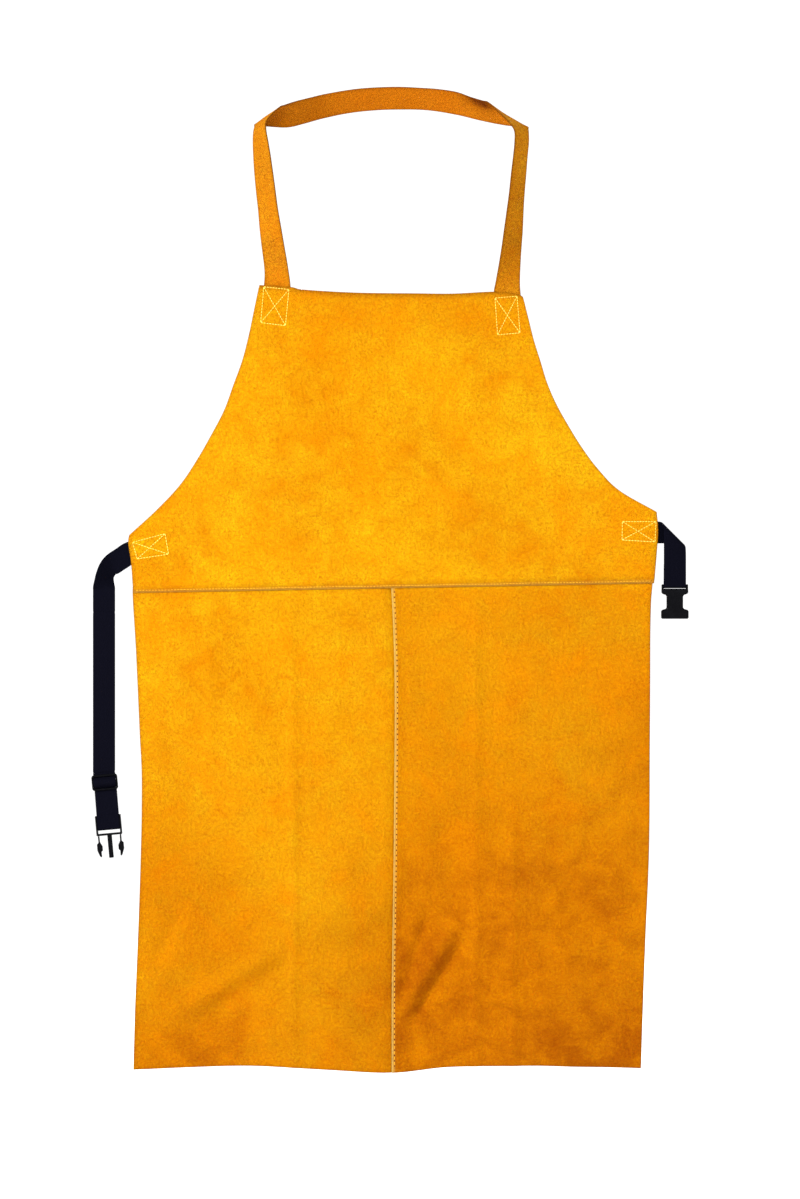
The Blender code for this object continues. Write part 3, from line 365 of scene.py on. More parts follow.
class Graph:
    """Adds and wires the nodes of one shader tree."""

    def __init__(self, tree: bpy.types.NodeTree) -> None:
        """Keep the tree that the nodes go in."""
        self.tree = tree

    def put(self, socket: bpy.types.NodeSocket, value: object) -> None:
        """Link a socket into another, or set its own value."""
        if isinstance(value, bpy.types.NodeSocket):
            self.tree.links.new(value, socket)
        else:
            socket.default_value = value

    def add(self, kind: str, inputs: dict, **settings: object) -> bpy.types.Node:
        """A new node with its settings and its inputs, by name or number."""
        node = self.tree.nodes.new(kind)
        for key, value in settings.items():
            setattr(node, key, value)
        for key, value in inputs.items():
            self.put(node.inputs[key], value)
        return node

    def math(self, operation: str, *values: object) -> bpy.types.NodeSocket:
        """The result of one arithmetic step."""
        return self.add("ShaderNodeMath", dict(enumerate(values)), operation=operation).outputs[0]

    def span(self, value: object, low: float, high: float, to_low: float = 0.0, to_high: float = 1.0):
        """A value taken from one span to another, and kept within it."""
        inputs = {"Value": value, 1: low, 2: high, 3: to_low, 4: to_high}
        return self.add("ShaderNodeMapRange", inputs).outputs[0]

    def noise(self, place: object, scale: float, detail: float = 2.0, rough: float = 0.5, bend: float = 0.0):
        """Soft noise at a place."""
        inputs = {"Vector": place, "Scale": scale, "Detail": detail, "Roughness": rough, "Distortion": bend}
        return self.add("ShaderNodeTexNoise", inputs).outputs[0]

    def blend(self, share: object, a: object, b: object) -> bpy.types.NodeSocket:
        """The colour a share of the way from a to b."""
        node = self.add("ShaderNodeMix", {0: share, 6: a, 7: b}, data_type="RGBA")
        return node.outputs[2]

    def stretch(self, place: object, scale: tuple) -> bpy.types.NodeSocket:
        """A place scaled along each axis."""
        node = self.add("ShaderNodeVectorMath", {0: place, 1: scale}, operation="MULTIPLY")
        return node.outputs[0]


def new_group(name: str, inputs: list, outputs: list) -> tuple[bpy.types.NodeTree, Graph, dict]:
    """A node group with named sockets.

    Args:
        name: of the group.
        inputs: (name, socket type, default) of each.
        outputs: (name, socket type) of each.

    Returns:
        The group, its graph, and its input sockets by name.
    """
    tree = bpy.data.node_groups.new(name, "ShaderNodeTree")
    for label, kind, default in inputs:
        socket = tree.interface.new_socket(label, in_out="INPUT", socket_type=kind)
        if default is not None:
            socket.default_value = default
    for label, kind in outputs:
        tree.interface.new_socket(label, in_out="OUTPUT", socket_type=kind)
    graph = Graph(tree)
    entry = tree.nodes.new("NodeGroupInput")
    return tree, graph, {socket.name: socket for socket in entry.outputs if socket.name}


def suede_group() -> bpy.types.NodeTree:
    """Brushed split leather: clouds, patches, grain and nap, and painted shade from its Shade input, as a
    colour, a height and a roughness.
    """
    color, value, vector = "NodeSocketColor", "NodeSocketFloat", "NodeSocketVector"
    tree, g, given = new_group(
        "suede_nap",
        [("Lay", vector, None), ("Light", color, None), ("Deep", color, None), ("Warm", color, None),
         ("Burn", color, None), ("Shade", value, 0.0), ("Seed", value, 0.0)],
        [("Color", color), ("Height", value), ("Roughness", value)],
    )
    place = g.add("ShaderNodeVectorMath", {0: given["Lay"], 1: given["Seed"]}, operation="ADD").outputs[0]
    cloud = g.noise(place, 6.5, 3.0, 0.55)
    patch = g.noise(place, 30.0, 4.0, 0.62, 0.4)
    grain = g.noise(place, 310.0, 3.0, 0.65, 0.5)
    brushed = g.stretch(place, (1.0, 1.0, 0.55))
    nap = g.noise(brushed, 760.0, 2.0, 0.6, 1.2)
    tone = g.math("MULTIPLY_ADD", g.math("SUBTRACT", cloud, 0.5), 1.35, 0.5)
    tone = g.math("MULTIPLY_ADD", g.math("SUBTRACT", patch, 0.5), 1.3, tone)
    fine = g.math("MULTIPLY_ADD", g.math("SUBTRACT", grain, 0.5), 2.9, 0.5)
    fine = g.math("MULTIPLY_ADD", g.math("SUBTRACT", nap, 0.5), 2.3, fine)
    base = g.blend(g.span(tone, 0.02, 0.86), given["Deep"], given["Light"])
    # Warm patches at random, pushed warmer by the painted shade.
    warm_tone_and_shade = g.span(g.noise(place, 13.0, 3.0, 0.6, 0.5), 0.46, 0.70, 0.0, 0.55)
    warm_tone_and_shade = g.math("MINIMUM", g.math("ADD", warm_tone_and_shade, g.math("MULTIPLY", given["Shade"], 1.1)), 0.9)
    base = g.blend(warm_tone_and_shade, base, given["Warm"])
    speck = g.span(g.noise(place, 380.0, 2.0, 0.7, 0.8), 0.49, 0.66)
    where = g.span(g.noise(place, 30.0, 3.0, 0.6), 0.38, 0.62, 0.08, 0.5)
    base = g.blend(g.math("MULTIPLY", speck, where), base, given["Burn"])
    # Painted shade: the base darkens patchily towards the dark colour.
    shaded = g.math("MULTIPLY", given["Shade"], g.span(patch, 0.32, 0.68, 0.55, 1.35))
    shaded = g.math("MINIMUM", shaded, 1.0)
    base = g.blend(shaded, base, given["Burn"])
    red_share = g.span(fine, 0.0, 1.0, 0.90, 1.07)
    green_share = g.span(fine, 0.0, 1.0, 0.78, 1.17)
    dapple = g.add("ShaderNodeCombineColor", {0: red_share, 1: green_share, 2: 1.0})
    product = g.add("ShaderNodeVectorMath", {0: base, 1: dapple.outputs[0]}, operation="MULTIPLY")
    height = g.math("MULTIPLY_ADD", nap, 0.35, grain)
    out = g.tree.nodes.new("NodeGroupOutput")
    g.put(out.inputs["Color"], product.outputs[0])
    g.put(out.inputs["Height"], height)
    g.put(out.inputs["Roughness"], g.span(tone, 0.1, 0.9, 0.97, 0.86))
    return tree


def new_material(name: str) -> tuple[bpy.types.Material, Graph, bpy.types.Node]:
    """A material, the graph of its nodes and its Principled shader."""
    material = bpy.data.materials.new(name)
    material.use_nodes = True
    return material, Graph(material.node_tree), material.node_tree.nodes["Principled BSDF"]


@dataclass(frozen=True)
class Suede:
    """Split leather with a short nap, a lighter cut edge, a dark rim of cut-edge colour and painted shadow,
    and painted shade that darkens it towards one side.
    """

    name: str
    group: bpy.types.NodeTree
    light: tuple
    deep: tuple
    warm: tuple
    burn: tuple
    edge: tuple
    rim: tuple
    back: tuple
    seed: float = 0.0

    def build(self) -> bpy.types.Material:
        """The material. Its painted shade grows down the skirt and towards its left half."""
        material, g, shader = new_material(self.name)
        lay = g.add("ShaderNodeAttribute", {}, attribute_name="Lay").outputs["Vector"]
        cut = g.add("ShaderNodeAttribute", {}, attribute_name="Cut").outputs["Fac"]
        back = g.add("ShaderNodeAttribute", {}, attribute_name="Back").outputs["Fac"]
        painted_shade = g.add("ShaderNodeAttribute", {}, attribute_name="PaintedShade").outputs["Fac"]
        nap = g.add(
            "ShaderNodeGroup",
            {},
            node_tree=self.group,
        )
        for key, value in (
            ("Lay", lay), ("Light", self.light), ("Deep", self.deep),
            ("Warm", self.warm), ("Burn", self.burn),
            ("Shade", painted_shade), ("Seed", self.seed),
        ):
            g.put(nap.inputs[key], value)
        # The back face's own colour, held back where the painted shade is deep.
        unshaded = g.math("SUBTRACT", 1.0, g.math("MINIMUM", g.math("MULTIPLY", painted_shade, 1.2), 1.0))
        inside = g.math("MULTIPLY", g.math("MULTIPLY", back, 0.8), unshaded)
        worn = g.blend(inside, nap.outputs["Color"], self.back)
        frayed_and_shaded_cut = g.math("MULTIPLY", cut, g.span(g.noise(lay, 300.0, 2.0), 0.35, 0.6, 0.55, 1.0))
        rim = g.add("ShaderNodeAttribute", {}, attribute_name="Rim").outputs["Fac"]
        pale = g.add("ShaderNodeAttribute", {}, attribute_name="Pale").outputs["Fac"]
        # Dark rim along the cut edges: the cut edge's darker colour and painted shadow, such as the line
        # under the bib's lower edge; noise darkens the cut face further.
        worn = g.blend(g.math("MULTIPLY", rim, 0.62), worn, self.rim)
        worn = g.blend(g.math("MULTIPLY", frayed_and_shaded_cut, 0.8), worn, self.rim)
        g.put(shader.inputs["Base Color"], g.blend(pale, worn, self.edge))
        g.put(shader.inputs["Roughness"], nap.outputs["Roughness"])
        shader.inputs["Specular IOR Level"].default_value = 0.02
        bump = g.add("ShaderNodeBump", {"Strength": 1.0, "Distance": 0.0030, "Height": nap.outputs["Height"]})
        g.put(shader.inputs["Normal"], bump.outputs[0])
        return material


@dataclass(frozen=True)
class Webbing:
    """Close black webbing: fine ribs across, a herringbone lean, and a plain selvedge."""

    name: str
    color: tuple
    rise: tuple
    width: float = 0.0245
    ribs: float = 1150.0

    def build(self) -> bpy.types.Material:
        """The material. The ribs come from the sine of the lay's second number."""
        material, g, shader = new_material(self.name)
        lay = g.add("ShaderNodeAttribute", {}, attribute_name="Lay").outputs["Vector"]
        split = g.add("ShaderNodeSeparateXYZ", {0: lay})
        across, along = split.outputs[0], split.outputs[1]
        lean = g.math("PINGPONG", g.math("ADD", across, 0.05), 0.0015)
        rib = g.math("SINE", g.math("MULTIPLY", g.math("ADD", along, lean), 2 * math.pi * self.ribs / 2))
        cord = g.math("SINE", g.math("MULTIPLY", across, 2 * math.pi / 0.0015))
        weave = g.math("MULTIPLY_ADD", cord, 0.35, g.math("MULTIPLY", rib, 0.5))
        edge = g.span(g.math("ABSOLUTE", across), self.width * 0.43, self.width * 0.47)
        height = g.math("MULTIPLY", weave, g.math("SUBTRACT", 1.0, g.math("MULTIPLY", edge, 0.7)))
        fuzz = g.noise(lay, 900.0, 3.0, 0.6)
        # Painted shade in the weave: hollows darker and raised ribs lighter, with random fuzz.
        tone = g.math("MULTIPLY_ADD", fuzz, 0.8, g.span(height, -0.8, 0.8, -0.2, 0.5))
        g.put(shader.inputs["Base Color"], g.blend(g.span(tone, 0.0, 1.0), self.color, self.rise))
        g.put(shader.inputs["Roughness"], g.span(fuzz, 0.3, 0.7, 0.72, 0.9))
        shader.inputs["Specular IOR Level"].default_value = 0.015
        bump = g.add("ShaderNodeBump", {"Strength": 0.6, "Distance": 0.0003, "Height": height})
        g.put(shader.inputs["Normal"], bump.outputs[0])
        return material


@dataclass(frozen=True)
class Thread:
    """Twisted sewing thread."""

    name: str
    color: tuple
    shade: tuple

    def build(self) -> bpy.types.Material:
        """The material. Its twist is a sine of the way along plus the way round."""
        material, g, shader = new_material(self.name)
        lay = g.add("ShaderNodeAttribute", {}, attribute_name="Lay").outputs["Vector"]
        split = g.add("ShaderNodeSeparateXYZ", {0: lay})
        ply = g.math("SINE", g.math("MULTIPLY_ADD", split.outputs[0], 9000.0, split.outputs[1]))
        place = g.add("ShaderNodeTexCoord", {}).outputs["Object"]
        soil = g.noise(place, 60.0, 3.0)
        # Painted shade in the twist: grooves between the plies darker, crests lighter; soil varies the tone
        # at random.
        tone = g.math("MULTIPLY_ADD", ply, 0.18, g.span(soil, 0.35, 0.65, 0.35, 0.95))
        g.put(shader.inputs["Base Color"], g.blend(g.span(tone, 0.0, 1.0), self.shade, self.color))
        g.put(shader.inputs["Roughness"], g.span(ply, -1.0, 1.0, 0.75, 0.6))
        shader.inputs["Specular IOR Level"].default_value = 0.2
        bump = g.add("ShaderNodeBump", {"Strength": 0.25, "Distance": 0.0001, "Height": ply})
        g.put(shader.inputs["Normal"], bump.outputs[0])
        return material


@dataclass(frozen=True)
class Moulded:
    """Black moulded plastic with a fine spark-eroded grain and a faint scuff."""

    name: str
    color: tuple
    scuff: tuple

    def build(self) -> bpy.types.Material:
        """The material, from its grain and a wide, faint cloud of scuffs."""
        material, g, shader = new_material(self.name)
        place = g.add("ShaderNodeTexCoord", {}).outputs["Object"]
        grain = g.noise(place, 2600.0, 2.0, 0.6)
        cloud = g.noise(place, 160.0, 4.0, 0.65)
        g.put(shader.inputs["Base Color"], g.blend(g.span(cloud, 0.5, 0.85), self.color, self.scuff))
        worn = g.span(cloud, 0.3, 0.7, 0.3, 0.42)
        rough = g.math("MULTIPLY_ADD", g.math("SUBTRACT", grain, 0.5), 0.12, worn)
        g.put(shader.inputs["Roughness"], rough)
        shader.inputs["Specular IOR Level"].default_value = 0.05
        bump = g.add("ShaderNodeBump", {"Strength": 0.25, "Distance": 0.0001, "Height": grain})
        g.put(shader.inputs["Normal"], bump.outputs[0])
        return material


@dataclass(frozen=True)
class Plain:
    """A matt ground: a floor, or the shadow inside a needle hole."""

    name: str
    color: tuple
    speck: tuple
    scale: float

    def build(self) -> bpy.types.Material:
        """The material: one colour with faint specks of another."""
        material, g, shader = new_material(self.name)
        place = g.add("ShaderNodeTexCoord", {}).outputs["Object"]
        speck = g.span(g.noise(place, self.scale, 3.0), 0.4, 0.7)
        g.put(shader.inputs["Base Color"], g.blend(speck, self.color, self.speck))
        shader.inputs["Roughness"].default_value = 0.9
        shader.inputs["Specular IOR Level"].default_value = 0.1
        return material


# ---------------------------------------------------------------- the frame's own places


def joint_place(name: str) -> Array:
    """A hinge's point at rest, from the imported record."""
    return np.array(next(j for j in frame["joints"] if j["name"] == name)["pos_m"], float)


def joint_axis(name: str) -> Array:
    """A joint's axis at rest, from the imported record."""
    return np.array(next(j for j in frame["joints"] if j["name"] == name)["axis"], float)


def bend_span(name: str, reach: float) -> tuple[Vector, Vector]:
    """The two points, reach above and below a hinge line that runs across the apron.

    Args:
        name: the hinge.
        reach: distance to each side.

    Returns:
        The point above and the point below, square to the hinge's axis.
    """
    place, axis = joint_place(name), joint_axis(name)
    up = unit(np.cross(axis, np.array([0.0, 1.0, 0.0])))
    up = up if up[2] > 0 else -up
    return Vector(place + up * reach), Vector(place - up * reach)


WAIST_REACH = 0.012


def follow_waist(obj: bpy.types.Object) -> None:
    """Bake a piece's transform into its mesh; the points about the waist hinge are found but not used."""
    above, below = bend_span("skirt_lift", WAIST_REACH)
    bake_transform(obj)


def waist_z(x: Array) -> Array:
    """Height of the bib's lower edge."""
    place, axis = joint_place("skirt_lift"), joint_axis("skirt_lift")
    return place[2] + (x - place[0]) * axis[2] / axis[0]


def painted_shade_at(x: Array, z: Array) -> Array:
    """Painted shade on the leather: darker towards the hem, more on the wearer's left panel, towards its side
    edge and near the bib's top, in random patches.
    """
    down = smoothstep(-0.62, -1.10, z)
    left = smoothstep(-0.004, 0.004, x) * smoothstep(-0.556, -0.562, z)
    patchy = lattice_noise(x, z, 0.11, 5)
    side = smoothstep(0.10, 0.31, x) * smoothstep(-0.56, -0.70, z)
    top = smoothstep(-0.32, -0.21, z) * 0.14
    value = 0.36 * down * (1.0 + 0.5 * patchy) + left * (0.21 + 0.07 * patchy) + 0.11 * side + top
    value = value + 0.10 * down * left + 0.05 * down * (1.0 - left)
    return np.clip(value, 0.0, 1.0)


# ---------------------------------------------------------------- shapes of the leather

LEATHER = 0.0014
PLY_GAP = 0.0003
BIB_Y = -0.085
STRAP_Y = BIB_Y + LEATHER + PLY_GAP
SKIRT_Y = BIB_Y + LEATHER + PLY_GAP
WEBBING = 0.0012
WEBBING_WIDTH = 0.0245
STRAP_WIDTH = 0.030
SIDE_EDGE = 0.300  # from the middle out to the leather's side corners
SEWN_TAIL = 0.046  # how far the webbing reaches in behind the leather
SIDE_FOLD_RADIUS = 0.0045  # the loose diagonal fold of the short webbing
WAIST_Z = -0.558  # the waist seam, at the middle
SKIRT_HEIGHT = 0.549
FLUTE_DEPTH, FLUTE_PITCH, FLUTE_PHASE = 0.007, 0.235, 0.6
BOX_THREAD, SEAM_THREAD, LOOP_THREAD = 0.00042, 0.00040, 0.00036  # radii
ADJUSTER_PLACE = (-0.328503, -0.0880, -0.7793)
MALE_PLACE = (-0.324968, -0.0880, -0.81814)
FEMALE_PLACE = (0.3210, -0.0900, -0.5552)
TAIL_Y = BIB_Y + (LEATHER + WEBBING) / 2 + PLY_GAP


class Side(Enum):
    """The wearer's sides. The wearer's right is at -X."""

    RIGHT = -1
    LEFT = 1


TOP_CORNER = {Side.RIGHT: (-0.1523, -0.2126), Side.LEFT: (0.1483, -0.2262)}
SIDE_CORNER = {Side.RIGHT: (-0.3005, -0.4974), Side.LEFT: (0.3005, -0.4711)}
ARMHOLE = {
    Side.RIGHT: (0, 0.04, 0.08, 0.13, 0.20, 0.27, 0.37, 0.48, 0.61, 0.79, 1),
    Side.LEFT: (0, 0.04, 0.08, 0.13, 0.18, 0.25, 0.34, 0.44, 0.56, 0.72, 1),
}
BIB_FLANK = {
    Side.RIGHT: ((-0.3017, -0.5065), (-0.2985, -0.529), (-0.2960, -0.5632)),
    Side.LEFT: ((0.3023, -0.4928), (0.3008, -0.5150), (0.2977, -0.5523)),
}
BIB_TOP = (
    (-0.1164, -0.2149), (-0.1019, -0.2179), (-0.0422, -0.2213), (0.0251, -0.2221), (0.0684, -0.2224),
    (0.1164, -0.2202), (0.1426, -0.2232),
)
SKIRT_FLANK = {
    Side.RIGHT: (
        (-0.2962, -0.546), (-0.2966, -0.564), (-0.2925, -0.632), (-0.2886, -0.720), (-0.2863, -0.777),
        (-0.2878, -0.880), (-0.2932, -1.028), (-0.2954, -1.110),
    ),
    Side.LEFT: (
        (0.2975, -0.540), (0.2956, -0.562), (0.2940, -0.585), (0.2932, -0.650), (0.2920, -0.857),
        (0.2875, -0.971), (0.2829, -1.110),
    ),
}
HEM = (
    (-0.300, -1.1062), (-0.225, -1.1050), (-0.153, -1.1033), (-0.081, -1.1062), (-0.001, -1.1110),
    (0.058, -1.1053), (0.105, -1.1030), (0.164, -1.1019), (0.214, -1.1040), (0.300, -1.1068),
)
SEAM_EDGE = (
    (-0.0023, -0.545), (0.0004, -0.600), (0.0023, -0.680), (0.0012, -0.850), (-0.0010, -1.005),
    (-0.0012, -1.115),
)


def read_off(curve: tuple, at: Array, key: int) -> Array:
    """The other coordinate of a smooth curve where its coordinate number key has these values."""
    dense = curve_through([(*p, 0.0) for p in curve], 200)
    order = np.argsort(dense[:, key])
    return np.interp(at, dense[order, key], dense[order, 1 - key])


def fold(x: Array, z: Array, line: tuple, width: float, depth: float) -> Array:
    """One soft fold: a bell across the line, with smooth ends.

    Args:
        x: across the apron.
        z: up.
        line: (x, z) of its start and of its end.
        width: of the bell.
        depth: of the valley, in metres; negative for a ridge.

    Returns:
        How far back the leather lies.
    """
    start, end = np.array(line[0]), np.array(line[1])
    run = end - start
    length = np.hypot(*run)
    run = run / length
    along = ((x - start[0]) * run[0] + (z - start[1]) * run[1]) / length
    aside = (x - start[0]) * run[1] - (z - start[1]) * run[0]
    wander = 0.3 * width * lattice_noise(along * length, 0 * x + width, 0.040, 51)
    window = smoothstep(-0.12, 0.20, along) * (1.0 - smoothstep(0.80, 1.12, along))
    return depth * np.exp(-(((aside - wander) / width) ** 2)) * window


SKIRT_FOLDS = (
    (((-0.2088, -0.575), (-0.2080, -0.800)), 0.0060, -0.0011),
    (((-0.1149, -0.565), (-0.1130, -1.150)), 0.0055, -0.0021),
    (((0.0120, -0.600), (0.0130, -0.860)), 0.0050, 0.0007),
    (((0.0955, -0.565), (0.0930, -1.150)), 0.0055, -0.0019),
    (((0.1369, -0.800), (0.1360, -1.150)), 0.0055, -0.0021),
    (((-0.2850, -0.820), (-0.0100, -0.8215)), 0.0045, 0.0013),
    (((0.0150, -0.691), (0.0900, -0.692)), 0.0050, 0.0006),
    (((0.0700, -0.943), (0.0130, -1.040)), 0.0085, -0.0060),
    (((0.0820, -0.958), (0.0200, -1.056)), 0.0070, 0.0056),
    (((0.0430, -0.925), (0.0110, -1.025)), 0.0070, 0.0044),
    (((-0.1200, -0.966), (-0.2480, -1.045)), 0.0130, -0.0050),
    (((-0.1180, -0.985), (-0.2050, -1.042)), 0.0120, 0.0036),
    (((-0.2475, -0.935), (-0.2715, -0.990)), 0.0095, 0.0034),
    (((0.0055, -0.862), (0.0055, -0.920)), 0.0060, -0.0018),
    (((-0.0120, -0.850), (-0.0450, -0.885)), 0.0140, 0.0024),
    (((-0.0860, -0.966), (-0.0600, -0.984)), 0.0100, 0.0018),
    (((-0.0620, -0.682), (-0.0800, -0.750)), 0.0090, -0.0012),
    (((-0.1700, -0.700), (-0.1580, -0.745)), 0.0120, -0.0014),
    (((-0.1240, -0.595), (-0.1240, -0.660)), 0.0090, -0.0012),
    (((-0.1090, -0.770), (-0.1180, -0.815)), 0.0060, -0.0012),
    (((0.2250, -0.660), (0.1650, -0.640)), 0.0120, 0.0014),
    (((0.2700, -0.700), (0.2150, -0.720)), 0.0110, 0.0016),
)


def bib_back(x: Array, z: Array) -> Array:
    """How far back the bib's leather lies from flat: wide, shallow waves that fade at its edges."""
    calm = smoothstep(-0.275, -0.330, z) * smoothstep(-0.552, -0.525, z)
    calm = calm * (1.0 - smoothstep(0.215, 0.250, np.abs(x)))
    wave = 0.0016 * lattice_noise(x, z, 0.085, 11) + 0.0005 * lattice_noise(x, z, 0.030, 12)
    return wave * calm


def skirt_back(x: Array, z: Array) -> Array:
    """How far back the skirt's leather lies from flat: flutes that grow to the hem, and folds."""
    t = np.clip((WAIST_Z - z) / SKIRT_HEIGHT, 0.0, 1.2)
    flute = FLUTE_DEPTH * t**1.5 * np.sin(2 * np.pi * x / FLUTE_PITCH + FLUTE_PHASE)
    wave = 0.0022 * lattice_noise(x, z, 0.075, 21) + 0.0006 * lattice_noise(x, z, 0.026, 22)
    wave = wave * smoothstep(0.02, 0.12, t)
    folds = sum(fold(x, z, line, width, depth) for line, width, depth in SKIRT_FOLDS)
    return flute + wave + folds


@dataclass
class Finishes:
    """Every material of the object, built once."""

    leather: bpy.types.Material
    strap: bpy.types.Material
    webbing: bpy.types.Material
    plastic: bpy.types.Material
    thread: bpy.types.Material
    seam_thread: bpy.types.Material
    dark_thread: bpy.types.Material
    hole: bpy.types.Material


STUDIO = 2.22  # how bright a white surface shows in the studio's light


def lit(red: int, green: int, blue: int) -> tuple[float, float, float, float]:
    """The surface colour that shows as a display colour in the studio's light."""
    return (*(c / STUDIO for c in srgb(red, green, blue)[:3]), 1.0)


def make_finishes() -> Finishes:
    """Build every material."""
    group = suede_group()
    # Each leather's darkest colour paints the shade and the dark specks; its rim colour paints the dark cut
    # edges and their shadow.
    leather = Suede(
        "golden_suede", group, light=lit(255, 196, 14), deep=lit(230, 134, 0), warm=lit(254, 152, 0),
        burn=lit(190, 98, 0), edge=lit(255, 222, 120), rim=lit(150, 84, 8), back=lit(226, 150, 40),
    )
    strap = Suede(
        "strap_suede", group, light=lit(250, 172, 26), deep=lit(214, 122, 6), warm=lit(234, 130, 4),
        burn=lit(120, 52, 2), edge=lit(240, 178, 84), rim=lit(92, 44, 6), back=lit(214, 112, 8), seed=3.7,
    )
    return Finishes(
        leather=leather.build(),
        strap=strap.build(),
        webbing=Webbing("black_webbing", lit(4, 4, 12), lit(13, 13, 26)).build(),
        plastic=Moulded("black_plastic", lit(2, 2, 6), lit(8, 9, 15)).build(),
        thread=Thread("yellow_thread", srgb(228, 194, 84), srgb(206, 156, 42)).build(),
        seam_thread=Thread("gold_thread", srgb(206, 150, 16), srgb(184, 120, 6)).build(),
        dark_thread=Thread("black_thread", lit(54, 56, 66), lit(24, 26, 32)).build(),
        # The needle holes' colour is painted shadow inside the holes.
        hole=Plain("needle_hole", lit(120, 58, 4), lit(84, 38, 2), 900.0).build(),
    )


# ---------------------------------------------------------------- sub-assemblies


@dataclass
class Assembly:
    """A group of pieces that are dressed and hung together."""

    finishes: Finishes
    made: list = field(default_factory=list)

    def keep(self, obj: bpy.types.Object, slot: Slot, nodes: tuple) -> bpy.types.Object:
        """Hide the solids that a piece stands for, keep the piece, and log what it stands for.

        Args:
            obj: the piece.
            slot: its material slot; not used.
            nodes: the solids that it stands for.

        Returns:
            The piece.
        """
        if nodes:
            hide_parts(*nodes)
        self.made.append(obj)
        stands_for = ", ".join(nodes) or "nothing"
        LOG.info("%s: %d faces, stands for %s", obj.name, len(obj.data.polygons), stands_for)
        return obj


def bib_edge(side: Side, rows: tuple[int, int]) -> Array:
    """The bib's edge from top corner to side corner to seam, as (x, z) rows.

    Down the armhole the way out is a smooth curve through the shares at even steps of height.
    """
    top, corner = np.array(TOP_CORNER[side]), np.array(SIDE_CORNER[side])
    shares = ARMHOLE[side]
    steps = [(top[0] + (corner[0] - top[0]) * out, top[1] + (corner[1] - top[1]) * i / (len(shares) - 1), 0.0)
             for i, out in enumerate(shares)]
    arm = curve_through(steps, rows[0])[:, :2]
    flank = curve_through([(*corner, 0.0), *((*p, 0.0) for p in BIB_FLANK[side])], rows[1] + 1)[1:, :2]
    return np.vstack([arm, flank])


